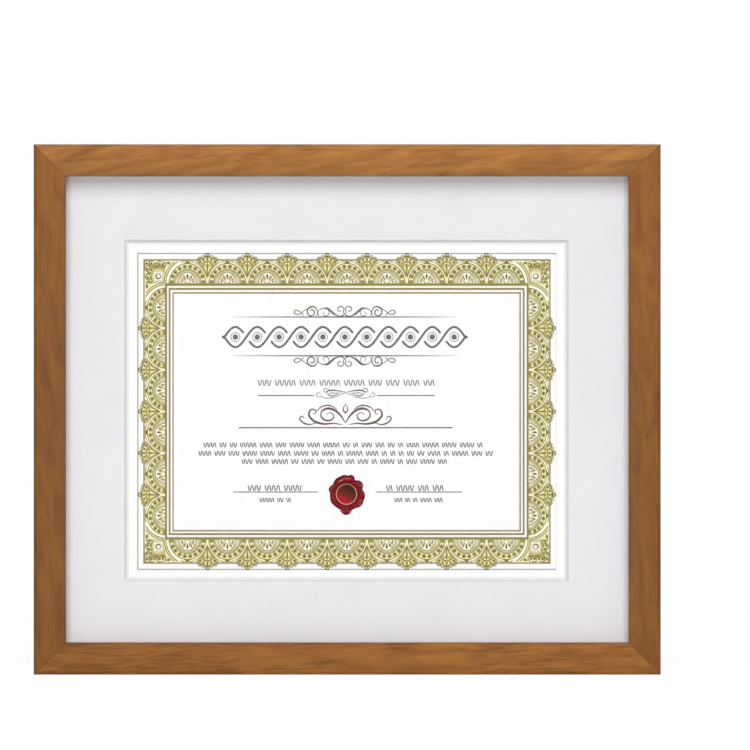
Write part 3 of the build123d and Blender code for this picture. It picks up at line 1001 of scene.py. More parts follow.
def place_piece(
    mesh: Mesh, name: str, body: str, slot: Slot, finish: Finish, stands_for: Sequence[str] = ()
) -> None:
    """Make a finished piece of a mesh that is already in place.

    Args:
        mesh: Mesh of the piece.
        name: Name of the piece.
        body: Body that it rides on.
        slot: Material slot of the record; not used.
        finish: Its finish.
        stands_for: CAD nodes that it replaces.
    """
    mesh.materials.clear()
    mesh.materials.append(finish.material())
    piece = link_helper(name, mesh)
    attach(piece, body)
    if stands_for:
        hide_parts(*stands_for)
    LOG.info("%s: %d faces on %s", name, len(mesh.polygons), body)


def dress_nodes(finishes: dict[str, Finish]) -> None:
    """Give CAD nodes their finishes.

    Args:
        finishes: Finish of each node by its name.
    """
    for node, finish in finishes.items():
        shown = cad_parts[node]
        shown.data.materials.clear()
        shown.data.materials.append(finish.material())
        LOG.info("%s: dressed in %s", node, finish.name)


class MotifTree:
    """Geometry tree that sets copies of a motif and dresses them; subclasses say where the copies go."""

    name: str
    inputs: dict[str, str]

    def __init__(self) -> None:
        """Build the tree: the motif, its copies, then real meshes in their finish."""
        tree = bpy.data.node_groups.new(self.name, "GeometryNodeTree")
        for side in ("INPUT", "OUTPUT"):
            tree.interface.new_socket("Geometry", in_out=side, socket_type="NodeSocketGeometry")
        self.keys: dict[str, str] = {}
        for label, kind in {"Motif": "Object", "Finish": "Material", **self.inputs}.items():
            socket = tree.interface.new_socket(label, in_out="INPUT", socket_type=f"NodeSocket{kind}")
            self.keys[label] = socket.identifier
        self.graph = Graph(tree)
        given = add_node(tree, "NodeGroupInput").outputs
        sockets = {"Object": given["Motif"], "As Instance": True}
        copies = self.copies(self.graph.add("GeometryNodeObjectInfo", sockets, "Geometry"), given)
        real = self.graph.add("GeometryNodeRealizeInstances", {"Geometry": copies})
        dressed = self.graph.add("GeometryNodeSetMaterial", {"Geometry": real, "Material": given["Finish"]})
        add_node(tree, "NodeGroupOutput", {0: dressed})

    def copies(self, motif: Socket, given: bpy.types.NodeOutputs) -> Socket:
        """Add the nodes that set the copies and return their output."""
        raise NotImplementedError

    def run(self, motif: Mesh, start: Mesh, finish: Finish, values: dict[str, object], name: str) -> Mesh:
        """Set copies of a motif and keep them as a plain mesh.

        Args:
            motif: Mesh of the motif.
            start: Mesh that the tree is given.
            finish: Finish of the copies.
            values: Value of each further input by name.
            name: Name of the result.

        Returns:
            All the copies.
        """
        shape = link_helper(f"{name}_motif", motif)
        helper = link_helper(name, start)
        modifier = helper.modifiers.new(name, "NODES")
        modifier.node_group = self.graph.tree
        for label, value in {"Motif": shape, "Finish": finish.material(), **values}.items():
            modifier[self.keys[label]] = value
        made = plain_mesh(helper, name)
        bpy.data.objects.remove(shape)
        return made


class OrnamentRing(MotifTree):
    """Geometry tree that sets a motif in even rows along the four sides of a rectangle."""

    name = "ornament_ring"
    inputs = {"Middle": "Vector"} | {
        f"{label} {row}": kind
        for row in ("Across", "Down")
        for label, kind in (("Count", "Int"), ("Pitch", "Float"), ("Reach", "Float"), ("Stretch", "Vector"))
    }

    def copies(self, motif: Socket, given: bpy.types.NodeOutputs) -> Socket:
        """Set two rows, each turned to face its two sides.

        Args:
            motif: The motif, base line on z = 0 and outwards up.
            given: Inputs of the tree.

        Returns:
            All four rows.
        """
        graph = self.graph
        join = add_node(graph.tree, "GeometryNodeJoinGeometry")
        for row, turns in (("Across", (0.0, math.pi)), ("Down", (math.pi / 2, -math.pi / 2))):
            count, pitch, reach = (given[f"{label} {row}"] for label in ("Count", "Pitch", "Reach"))
            length = graph.calc("MULTIPLY", graph.calc("SUBTRACT", count, 1.0), pitch)
            start = graph.add("ShaderNodeCombineXYZ", {"X": graph.calc("MULTIPLY", length, -0.5), "Z": reach})
            step = graph.add("ShaderNodeCombineXYZ", {"X": pitch})
            sockets = {"Count": count, "Start Location": start, "Offset": step}
            line = graph.add("GeometryNodeMeshLine", sockets, mode="OFFSET")
            sockets = {"Points": line, "Instance": motif, "Scale": given[f"Stretch {row}"]}
            placed = graph.add("GeometryNodeInstanceOnPoints", sockets)
            for turn in turns:
                sockets = {"Geometry": placed, "Rotation": (0.0, turn, 0.0), "Translation": given["Middle"]}
                graph.tree.links.new(graph.add("GeometryNodeTransform", sockets), join.inputs[0])
        return join.outputs[0]


class FastenerSet(MotifTree):
    """Geometry tree that sets a fastener, head to the back, on each point with its slot turned at random."""

    name = "fastener_set"
    inputs = {"Turn": "Float", "Seed": "Int"}
    seed: int = 4

    def copies(self, motif: Socket, given: bpy.types.NodeOutputs) -> Socket:
        """Set one fastener on each point.

        Args:
            motif: The fastener, its seat at the origin.
            given: Inputs of the tree.

        Returns:
            All the fasteners.
        """
        sockets = {2: 0.0, 3: given["Turn"], "Seed": given["Seed"]}
        turn = self.graph.add("FunctionNodeRandomValue", sockets, 1, data_type="FLOAT")
        about = self.graph.add("ShaderNodeCombineXYZ", {"Y": turn})
        sockets = {"Points": given["Geometry"], "Instance": motif, "Rotation": about}
        return self.graph.add("GeometryNodeInstanceOnPoints", sockets)

    def seat(self, fastener: Mesh, seats: Sequence[Place], name: str, turn: float = 0.0) -> Mesh:
        """Set a zinc plated fastener on every seat.

        Args:
            fastener: Mesh of one fastener with its seat at the origin.
            seats: Where the underside of each head sits, in millimetres.
            name: Name of the result.
            turn: Largest turn of the slot, in radians.

        Returns:
            All of them as a plain mesh.
        """
        points = bpy.data.meshes.new(f"{name}_seats")
        points.from_pydata([tuple(c * MM for c in seat) for seat in seats], [], [])
        return self.run(fastener, points, ZINC, {"Turn": turn, "Seed": self.seed}, name)


@dataclass
class Rails:
    """The four mitred rails and the nails across their corners."""

    # The top rail is toned lighter than the others, partly its own board and partly painted light from above.
    top: LacqueredWood = LacqueredWood(
        "stained_wood_top", Grain.ACROSS, "#a66d32", painted_edge_light=1.08, outer_tint=1.03, painted_inner_shade=0.785,
        run=(1.0, 1.0), shift=(0.31, 0.2, 0.05), figure=(34.0, 5.5, 0.16), figure_depth=0.3, dash_depth=0.12,
    )
    bottom: LacqueredWood = LacqueredWood(
        "stained_wood_bottom", Grain.ACROSS, "#976028", painted_edge_light=1.35, outer_tint=0.97, painted_inner_shade=1.0,
        run=(0.97, 1.06), shift=(1.7, 0.4, 0.3), figure=(40.0, 6.0, 0.05), figure_depth=0.24, dash_depth=0.24,
    )
    left: LacqueredWood = LacqueredWood(
        "stained_wood_left", Grain.UPRIGHT, "#87541f", painted_edge_light=0.75, outer_tint=0.98, painted_inner_shade=0.99,
        run=(0.9, 0.9, 0.875, 1.03, 1.13), shift=(0.9, 1.3, 0.7),
    )
    right: LacqueredWood = LacqueredWood(
        "stained_wood_right", Grain.UPRIGHT, "#8a551f", painted_edge_light=1.02, outer_tint=0.97, painted_inner_shade=1.0,
        run=(0.91, 0.91, 0.9, 1.04, 1.13), shift=(2.3, 0.8, 1.9),
    )

    def dress(self) -> None:
        """Give each rail its own board of the same wood, and the corner nails bare steel."""
        rails = {"top_rail": self.top, "bottom_rail": self.bottom}
        rails |= {"left_rail": self.left, "right_rail": self.right}
        dress_nodes({**rails, "corner_v_nails": STEEL})


@dataclass
class Panes:
    """Glass, mat, certificate sheet, filler and backing board."""

    glass: PictureGlass = PictureGlass()

    def dress(self) -> None:
        """Give each layer its finish."""
        sheets = {"mat_board": MAT_CARD, "certificate_sheet": PAPER}
        boards = {"filler_card": KRAFT, "backing_board": HARDBOARD}
        dress_nodes({"glass_pane": self.glass, **sheets, **boards})


@dataclass
class CertificatePrint:
    """The print on the certificate: an ornamental border and generic marks where words would be."""

    middle: Vector = field(default_factory=lambda: Vector((-0.18, 0.0, 158.3)))
    paper_y: float = 3.6
    sink: float = 0.01
    base_half_width: float = 109.05
    base_half_height: float = 76.7
    band_across: float = 14.7
    band_down: float = 13.2
    lunettes_across: int = 9
    lunettes_down: int = 6
    pitch_across: float = 24.05
    pitch_down: float = 25.13
    outer_rule_gap: float = 3.9
    field_gap: float = 0.4
    edge_gap: float = 0.2
    pearl: Point = (4.8, 4.8)
    films: Drawing = field(default_factory=Drawing)
    lunette: Drawing = field(default_factory=Drawing)
    palmette: Drawing = field(default_factory=Drawing)

    def draw_rules(self) -> None:
        """Draw the straight lines round the border, from the paper's edge inwards."""
        wide, high, gap = self.base_half_width, self.base_half_height, self.outer_rule_gap
        out_x, out_z = wide + self.band_down, high + self.band_across
        for ink, middle, half, width, sides in (
            (Ink.SAGE, (0, 0), (out_x + gap, out_z + gap), 0.7, (0.7, 0.14)),
            (Ink.TAN, (0, 0), (out_x + 0.2, out_z + 0.08), 0.86, (0.86, 0.86)),
            (Ink.MOSS, (-0.06, 0), (wide + 0.04, high - 0.1), 1.75, (1.3, 1.3)),
            (Ink.OLIVE, (-0.06, 0), (wide + 0.04, high - 0.1), 0.6, (0.75, 0.75)),
            (Ink.OLIVE, (-0.2, 0), (wide - 2.25, high - 2.75), 1.1, (1.0, 1.0)),
            (Ink.TAN, (-0.2, -0.2), (wide - 4.35, high - 4.95), 1.0, (0.8, 1.0)),
        ):
            self.films[ink].at(*middle).rule(half, width, sides)
        self.films.at()

    def draw_lunette(self) -> None:
        """Draw one lunette: arch, beads, hatched crescent, and a half disc with petals."""
        ivory, beige, cream, white = self.lunette.pens(Ink.IVORY, Ink.BEIGE, Ink.CREAM, Ink.WHITE)
        moss, olive, dark = self.lunette.pens(Ink.MOSS, Ink.OLIVE, Ink.DARK)
        half = self.pitch_across / 2
        ivory.fill(box(-half, self.field_gap, half, self.band_across - self.edge_gap))
        olive.arch((12.05, 14.1), (11.8, 13.85), 21, 159)
        white.arch((11.85, 13.8), (11.3, 12.9))
        olive.arch((11.42, 12.9), (10.9, 12.42))
        cream.arch((10.95, 12.5), (8.5, 9.25))
        olive.arch((8.6, 9.3), (8.2, 8.85))
        beige.arch((8.25, 8.9), (5.3, 7.4))
        olive.arch((7.8, 8.45), (7.55, 8.2))
        olive.arch((5.45, 7.55), (5.05, 7.1))
        white.arch((5.1, 7.15), (0.02, 0.02), steps=14)
        beads = [math.radians(angle) for angle in (26.5, 43, 61.5, 80.5, 99.5, 118.5, 137, 153.5)]
        for x, z in ellipse((9.95, 10.75), beads):
            moss.disc(x, z, 0.95, 11)
            olive.ring(x, z, 1.12, 0.26, 10)
            dark.disc(x, z, 0.58, 7)
        hatch = [math.radians(angle) for angle in (*range(32, 68, 7), *range(113, 149, 7))]
        for line in zip(ellipse((5.6, 7.7), hatch), ellipse((8.0, 8.7), hatch)):
            moss.stroke(line, [0.2, 0.32], 1)
        dark.petal((0, 2.5), (0, 6.3), 1.2)
        beige.disc(0, 1.4, 0.9, 9)
        leaf = [(0.8, 2.1), (1.1, 4.3), (2.4, 5.6), (3.5, 4.9), (2.5, 3.1), (1.2, 1.9)]
        for _ in self.lunette.both_sides():
            olive.petal((0.9, 2.2), (2.6, 5.1), 1.2)
            moss.petal((1.6, 1.7), (4.1, 3.6), 1.0)
            dark.disc(3.5, 1.7, 0.62, 8)
            moss.petal((0.3, 0.7), (1.9, 1.7), 0.8)
            moss.stroke(leaf, [0.16, 0.24, 0.24, 0.16], 4)
            moss.fill([(8.3, 0.5), (11.0, 0.5), (10.9, 2.55), (8.3, 2.55)])
            olive.fill(box(8.9, 0.5, 10.5, 1.6))
            olive.disc(2.1, 14.0, 0.36, 7)
            moss.disc(3.1, 14.0, 0.34, 7)
        moss.fill([(-1.1, 13.2), (1.1, 13.2), (0.8, 14.8), (-0.8, 14.8)])
        dark.stroke([(-1.8, 12.75), (0, 13.1), (1.8, 12.75)], [0.35, 0.85, 0.35], 4)

    def draw_palmette(self) -> None:
        """Draw the palmette that stands between two lunettes and crowns the border's outer line."""
        gold, beige, cream = self.palmette.pens(Ink.GOLD, Ink.BEIGE, Ink.CREAM)
        moss, olive, dark = self.palmette.pens(Ink.MOSS, Ink.OLIVE, Ink.DARK)
        right = [(0.1, 3.5), (0.7, 5.0), (1.9, 7.9), (3.8, 10.5), (5.5, 12.0), (6.0, 13.3), (5.2, 14.9)]
        right += [(3.4, 16.3), (1.6, 17.2), (0, 17.5)]
        gold.fill(right + [(-x, z) for x, z in right[-2::-1]])
        lobes = [(-5.6, 13.6, 1.0), (-4.7, 15.3, 1.4), (-2.6, 16.5, 1.1), (0, 17.45, 1.4)]
        for x, z, radius in lobes + [(-x, z, radius) for x, z, radius in lobes[-2::-1]]:
            beige.disc(x, z, radius, 14)
            olive.ring(x, z, radius - 0.2, 0.4, 14)
        dark.disc(0, 16.9, 0.62, 8)
        brow = [(-1.3, 17.4), (-0.9, 18.3), (0, 18.65), (0.9, 18.3), (1.3, 17.4)]
        dark.stroke(brow, [0.35, 0.75, 0.35], 3)
        for x, z in ((0, 15.0), (-2.4, 14.6), (2.4, 14.6), (-4.45, 13.3), (4.45, 13.3)):
            dark.disc(x, z, 0.55, 8)
        for x, z in ((-1.25, 14.95), (1.25, 14.95), (-3.55, 14.2), (3.55, 14.2)):
            cream.petal((x * 0.8, z - 1.1), (x * 1.05, z + 0.9), 1.25)
        arc = ellipse((2.95, 2.95), [math.radians(angle) for angle in range(0, 181, 15)], 0, 10.5)
        olive.stroke(arc, [0.38, 0.6, 0.38], 1)
        dark.disc(0, 11.7, 0.5, 8)
        olive.stroke([(0, 4.3), (0, 11.6)], [0.5, 0.75], 2)
        for _ in self.palmette.both_sides():
            cream.petal((0.35, 6.9), (1.75, 12.0), 1.15)
            moss.disc(1.4, 11.2, 0.5, 8)
            olive.stroke([(0.25, 4.8), (1.1, 7.4), (2.6, 9.9), (4.7, 11.8)], [0.34, 0.42, 0.42, 0.3], 4)
            cream.stroke([(1.6, 7.0), (3.1, 9.2), (4.9, 11.0)], [0.3, 0.55, 0.3], 4)
            cream.disc(0.85, 12.5, 0.6, 8)
            olive.disc(1.5, 16.5, 0.55, 8)
            olive.stroke([(3.8, 16.0), (4.9, 15.2), (5.8, 14.2)], [0.5, 0.95, 0.5], 3)

    def draw_corners(self) -> None:
        """Draw the four corner squares: leaf scrolls, a pearl, and the arcs that face the end lunettes."""
        for side in (-1, 1):
            for rise in (-1, 1):
                self.films.at(side * self.base_half_width, rise * self.base_half_height, side, rise)
                self._corner_field()
                self._corner_arcs()
                self._corner_pearl()
        self.films.at()

    def _corner_field(self) -> None:
        """Draw the leaf scrolls along the two outer edges of one corner, with the pens set to it."""
        ivory, gold, cream = self.films.pens(Ink.IVORY, Ink.GOLD, Ink.CREAM)
        olive, glint = self.films.pens(Ink.OLIVE, Ink.GLINT)
        wide, high, gap = self.band_down - self.edge_gap, self.band_across - self.edge_gap, self.field_gap
        left = self.lunettes_across * self.pitch_across / 2 - self.base_half_width
        low = self.lunettes_down * self.pitch_down / 2 - self.base_half_height
        ivory.fill([(left, gap), (gap, gap), (gap, low), (wide, low), (wide, high), (left, high)])
        gold.fill(box(0.6, 0.6, 12.4, high - 0.5))
        edge = [(0.4, 10.4), (2.0, 10.0), (4.0, 10.5), (6.2, 9.9), (8.3, 10.0), (8.9, 8.4), (8.4, 6.4)]
        olive.stroke([*edge, (8.9, 4.6), (8.3, 2.6), (8.9, 0.6)], [0.3, 0.45, 0.45, 0.3], 4)
        for x, z, size in (
            (11.5, 12.8, 0.95), (8.6, 12.6, 0.9), (6.1, 11.6, 0.6), (3.8, 12.4, 1.0), (1.3, 11.7, 0.65),
            (11.4, 9.7, 0.9), (9.9, 7.3, 0.75), (11.0, 4.5, 0.9), (9.8, 1.9, 0.7),
        ):
            self._rosette(x, z, size)
        for base, tip, width in (((0.4, 13.2), (-2.6, 12.6), 1.7), ((11.8, 1.2), (11.5, -2.6), 1.6)):
            cream.petal(base, tip, width * 1.5)
            olive.petal(base, tip, width)
        drops = ((12.0, 11.3), (7.2, 13.6), (5.9, 13.3), (2.2, 13.3), (12.1, 7.2), (12.1, 2.6), (9.4, 5.7))
        for x, z in drops:
            cream.disc(x, z, 0.7, 9)
            glint.disc(x, z, 0.38, 7)

    def _rosette(self, x: float, z: float, size: float) -> None:
        """Draw one rolled leaf end with the pens set to the corner: a ringed round with a dark eye.

        Args:
            x: Where it lies, outwards from the corner.
            z: Where it lies, upwards from the corner.
            size: Its size, one for a round of four millimetres.
        """
        ink = self.films
        ink[Ink.CREAM].disc(x, z, 1.9 * size, 14)
        ink[Ink.OLIVE].ring(x, z, 1.75 * size, 0.62, 16)
        ink[Ink.MOSS].disc(x + 0.15, z - 0.25 * size, size, 11)
        ink[Ink.DARK].disc(x + 0.15, z - 0.3 * size, 0.55 * size, 8)
        ink[Ink.GLINT].disc(x - 0.55 * size, z + 0.75 * size, 0.5 * size, 8)

    def _corner_arcs(self) -> None:
        """Draw the arcs of one corner with the pens set to it: they go round the end lunette of each side."""
        last_across = self.base_half_width - (self.lunettes_across - 1) / 2 * self.pitch_across
        last_down = self.base_half_height - (self.lunettes_down - 1) / 2 * self.pitch_down
        lift, start, runs = 14.1 / 12.05, 4, 11
        narrow, longer = self.band_down / self.band_across, self.pitch_down / self.pitch_across
        for ink, reach, width, end in (
            (Ink.GLINT, 12.1, 1.4, 70),
            (Ink.OLIVE, 13.05, 0.6, 62),
            (Ink.CREAM, 13.6, 0.85, 58),
            (Ink.OLIVE, 14.2, 0.5, 55),
        ):
            turns = [math.radians(start + (end - start) * k / runs) for k in range(runs + 1)]
            over = ellipse((reach, reach * lift), turns, -last_across)
            aside = ellipse((reach * longer, reach * lift * narrow), turns[::-1], -last_down)
            for line in (over, [(out, along) for along, out in aside]):
                self.films[ink].stroke(line, [width, width], 2)

    def _corner_pearl(self) -> None:
        """Draw the pearl of one corner on its pale ground, with the pens set to the corner."""
        beige, white = self.films.pens(Ink.BEIGE, Ink.WHITE)
        olive, dark, glint = self.films.pens(Ink.OLIVE, Ink.DARK, Ink.GLINT)
        x, z = self.pearl
        beige.disc(x, z, 4.2, 18)
        white.disc(x, z, 2.4, 16)
        for base in ellipse((3.9, 3.9), [math.radians(angle) for angle in range(45, 360, 90)], x, z):
            white.petal(base, (x, z), 1.6)
        olive.disc(x, z, 1.75, 18)
        dark.ring(x, z, 1.6, 0.4, 18)
        glint.disc(x - 0.15, z + 0.2, 1.12, 16)

    def draw_title(self) -> None:
        """Draw an interlaced band in the heading's place, between two hairlines with scrolls."""
        ink = self.films[Ink.GREY]
        eyes, eye_length, height, width, gap, runs = 11, 13.2, 6.1, 1.3, 0.13, 8
        ink.at(-1.3, 44.9)
        for i in range(eyes):
            start = (i - eyes / 2) * eye_length
            for strand in (0, 1):
                sign = 1 if (i + strand) % 2 == 0 else -1
                cut_start = 0.0 if strand == i % 2 or i == 0 else gap
                cut_end = 0.0 if strand == (i + 1) % 2 or i == eyes - 1 else gap
                shares = [cut_start + (1 - cut_start - cut_end) * k / runs for k in range(runs + 1)]
                wave = [(start + s * eye_length, sign * height * math.sin(math.pi * s)) for s in shares]
                ink.stroke(wave, [width, width], 2)
            ink.disc(start + eye_length / 2, 0, 1.65, 16)
            ink.ring(start + eye_length / 2, 0, 2.7, 0.4, 20)
        for end in (-1, 1):
            ink.disc(end * (eyes / 2 * eye_length + 0.6), 0, 1.0, 12)
        for rise, flip in ((57.0, 1), (33.6, -1)):
            ink.at(-1.4, rise, 1, flip)
            ink.stroke([(x, 0) for x in (-68, -40, 0, 40, 68)], [0.08, 0.6, 0.85, 0.6, 0.08], 4)
            for side in (-1, 1):
                self._scroll(ink.at(-1.4, rise, side, flip))
        ink.at()

    @staticmethod
    def _scroll(ink: Film) -> None:
        """Draw one half of a scroll: a curl, a leaf that rolls into a wave, a ring scroll and a loop.

        Args:
            ink: Film that gets it, with its pen set.
        """
        curl = [(0.0, 1.6), (0.8, 3.1), (0.45, 4.9), (1.9, 6.3), (3.7, 5.8), (4.1, 4.3), (2.9, 3.3)]
        ink.stroke([*curl, (2.0, 4.1)], [0.4, 0.6, 0.68, 0.55, 0.4])
        ink.stroke([(0.0, 2.0), (1.5, 0.6), (3.8, 0.5)], [0.4, 0.9, 0.4])
        leaf = [(3.4, 0.6), (6.2, 1.7), (8.3, 3.5), (10.4, 4.9), (12.9, 5.2), (15.2, 4.2), (16.2, 2.4)]
        ink.stroke([*leaf, (15.4, 0.6)], [0.4, 1.25, 1.35, 0.8, 0.5, 0.42, 0.4])
        ink.stroke([(9.0, 4.9), (10.9, 5.5), (12.2, 5.3)], [0.4, 0.8, 0.35])
        hook = [(9.9, 4.4), (9.4, 2.6), (10.2, 0.9), (12.0, 0.7), (13.0, 2.0), (12.0, 3.0)]
        ink.stroke(hook, [0.35, 0.5, 0.3])
        ring = [(16.9, 0.5), (16.4, 3.2), (17.6, 5.6), (19.8, 6.2), (22.1, 4.9), (22.4, 2.3), (20.6, 0.7)]
        ring += [(18.6, 1.4), (18.3, 3.4), (19.8, 4.5), (20.9, 3.6)]
        ink.stroke(ring, [0.4, 0.68, 1.0, 0.8, 0.68, 0.8, 0.4])
        loop = [(22.2, 5.2), (24.3, 3.9), (26.4, 2.1), (28.7, 1.5), (30.5, 2.7), (29.4, 4.1), (27.2, 3.4)]
        ink.stroke([*loop, (25.4, 1.7), (24.8, 0.7)], [0.4, 0.55, 0.68, 0.55, 0.4])

    def draw_marks(self) -> None:
        """Draw plain wavy marks on the lines where words would be, and the rules under them."""
        grey, slate, brown = self.films.pens(Ink.GREY, Ink.SLATE, Ink.BROWN)
        chance = random.Random(11)
        for ink, x, z, length, height, width in (
            (grey, 0.0, 17.3, 108.0, 3.5, 0.62),
            (slate, -0.6, -20.2, 172.0, 2.8, 0.58),
            (slate, -0.6, -25.3, 178.0, 2.8, 0.58),
            (slate, -0.6, -30.2, 126.0, 2.8, 0.58),
            (slate, -43.0, -46.2, 34.0, 3.4, 0.62),
            (slate, 43.5, -46.2, 40.0, 3.4, 0.62),
            (slate, -42.8, -53.4, 20.0, 2.5, 0.54),
            (slate, 43.5, -53.4, 30.0, 2.5, 0.54),
        ):
            self._word_line(ink.at(x - length / 2, z), chance, length, height, width)
            ink.at()
        for start, end, z, width in (
            (-53.8, -19.6, 9.6, 0.6),
            (18.1, 52.8, 9.6, 0.6),
            (-65.3, 63.7, -9.8, 0.75),
            (-68.7, -17.5, -48.6, 0.6),
            (17.9, 69.4, -48.6, 0.6),
        ):
            grey.fill(box(start, z - width / 2, end, z + width / 2))
        for side in (-1, 1):
            self._leaf_scroll(grey.at(-0.8, 10.4, side))
            self._swash(brown.at(-0.9, -3.6, side))
        self.films.at()

    @staticmethod
    def _leaf_scroll(ink: Film) -> None:
        """Draw one half of the small leaf scroll between the two short rules.

        Args:
            ink: Film that gets it, with its pen set.
        """
        ink.stroke([(0.2, 1.2), (3.5, 1.9), (8.0, 2.4), (11.5, 1.6), (10.6, -0.2)], [0.3, 0.6, 0.9, 0.7, 0.3])
        tail = [(0.2, 0.9), (4.0, -0.6), (8.5, -2.2), (12.5, -2.3), (15.2, -0.8)]
        ink.stroke(tail, [0.3, 0.4, 0.5, 0.4, 0.25])
        ink.stroke([(4.6, 0.3), (7.4, -0.9), (10.0, -0.7), (9.4, 0.7), (7.2, 0.6)], [0.25, 0.7, 0.5, 0.3])
        ink.stroke([(2.4, 0.9), (5.6, 0.6), (8.2, 1.2)], [0.2, 0.5, 0.2])
        ink.stroke([(9.0, 2.2), (11.2, 3.4), (13.3, 2.9), (12.9, 1.4), (11.6, 1.7)], [0.25, 0.5, 0.45, 0.25])
        tip = [(14.0, -1.6), (16.6, -1.5), (17.6, 0.1), (16.2, 1.0), (15.2, 0.1)]
        ink.stroke(tip, [0.25, 0.45, 0.4, 0.25])

    @staticmethod
    def _swash(ink: Film) -> None:
        """Draw one half of the pen flourish that fills the long line: a volute, a long sweep and a curl.

        Args:
            ink: Film that gets it, with its pen set.
        """
        volute = [(0.0, -3.4), (2.6, 0.8), (6.2, 4.2), (10.6, 5.4), (14.2, 3.8), (14.6, 0.4), (11.4, -1.9)]
        volute += [(7.8, -1.0), (7.2, 1.5), (9.4, 2.9), (11.4, 1.7)]
        ink.stroke(volute, [0.4, 1.3, 1.5, 0.7, 1.1, 0.8, 0.5, 0.4])
        sweep = [(2.0, -4.4), (7.0, -3.6), (13.0, -3.9), (18.6, -2.4), (22.0, 1.2), (21.0, 4.6), (18.4, 4.6)]
        ink.stroke([*sweep, (18.0, 2.6), (19.6, 2.0)], [0.35, 0.9, 1.4, 1.2, 0.9, 0.6, 0.4])
        curl = [(17.4, -3.2), (21.6, -4.3), (25.4, -3.2), (27.6, -0.8), (26.2, 0.8), (24.8, -0.6)]
        ink.stroke(curl, [0.35, 1.0, 0.75, 0.45])
        ink.stroke([(5.0, 4.9), (9.6, 7.2), (14.6, 6.4), (17.6, 3.4)], [0.3, 0.9, 0.75, 0.3])
        ink.stroke([(0.0, 2.6), (1.3, 4.4), (0.9, 6.6), (0.0, 8.0)], [0.9, 0.75, 0.5, 0.35])

    @staticmethod
    def _word_line(ink: Film, chance: random.Random, length: float, height: float, width: float) -> None:
        """Draw one line of upright waves of uneven length, thick in the stems and thin in the turns.

        Args:
            ink: Film that gets the marks, with its pen at the left end of the line's middle.
            chance: Seeded source of the marks' lengths.
            length: Length of the line.
            height: Height of the waves.
            width: Width of a stem.
        """
        stem, space, runs, x = height * 0.4, height * 0.62, 6, 0.0
        while x < length - 3 * stem:
            count = min(chance.randint(3, 9), int((length - x) / stem))
            points, widths = [], []
            for k in range(count * runs + 1):
                phase = math.pi * k / runs
                points.append((x + k / runs * stem, height / 2 * math.tanh(1.8 * math.cos(phase))))
                widths.append(width * (0.4 + 0.6 * abs(math.sin(phase))))
            ink.stroke(points, widths, 1)
            x += count * stem + space

    def build(self, ring: OrnamentRing) -> None:
        """Draw everything, repeat the motifs round the border and make one piece of each ink.

        Args:
            ring: Tree that lays a motif round the border.
        """
        self.draw_rules()
        self.draw_lunette()
        self.draw_palmette()
        self.draw_corners()
        self.draw_title()
        self.draw_marks()
        stretch = (self.pitch_down / self.pitch_across, 1.0, self.band_down / self.band_across)
        rows = (
            ("Across", self.lunettes_across, self.pitch_across, self.base_half_height, (1.0, 1.0, 1.0)),
            ("Down", self.lunettes_down, self.pitch_down, self.base_half_width, stretch),
        )
        for ink in Ink:
            name, front, back = ink.finish.name, self.paper_y - ink.level, self.paper_y + self.sink
            parts = []
            for motif, fewer in ((self.lunette, 0), (self.palmette, 1)):
                film = motif[ink]
                if not film.outlines and not film.strips:
                    continue
                values = {"Middle": self.middle * MM}
                for row, count, pitch, reach, scale in rows:
                    values |= {f"Count {row}": count - fewer, f"Stretch {row}": scale}
                    values |= {f"Pitch {row}": pitch * MM, f"Reach {row}": reach * MM}
                shape = film.mesh(f"{name}_motif", Vector(), front, back)
                start = bpy.data.meshes.new(f"{name}_start")
                parts.append(ring.run(shape, start, ink.finish, values, f"{name}_rows"))
            parts.append(self.films[ink].mesh(f"{name}_lines", self.middle, front, back))
            mesh = join_meshes(name, parts)
            flat_map(mesh)
            piece = f"print_{ink.name.lower()}"
            place_piece(mesh, piece, Body.FRAME.value, Slot.CERTIFICATE_PAPER, ink.finish)


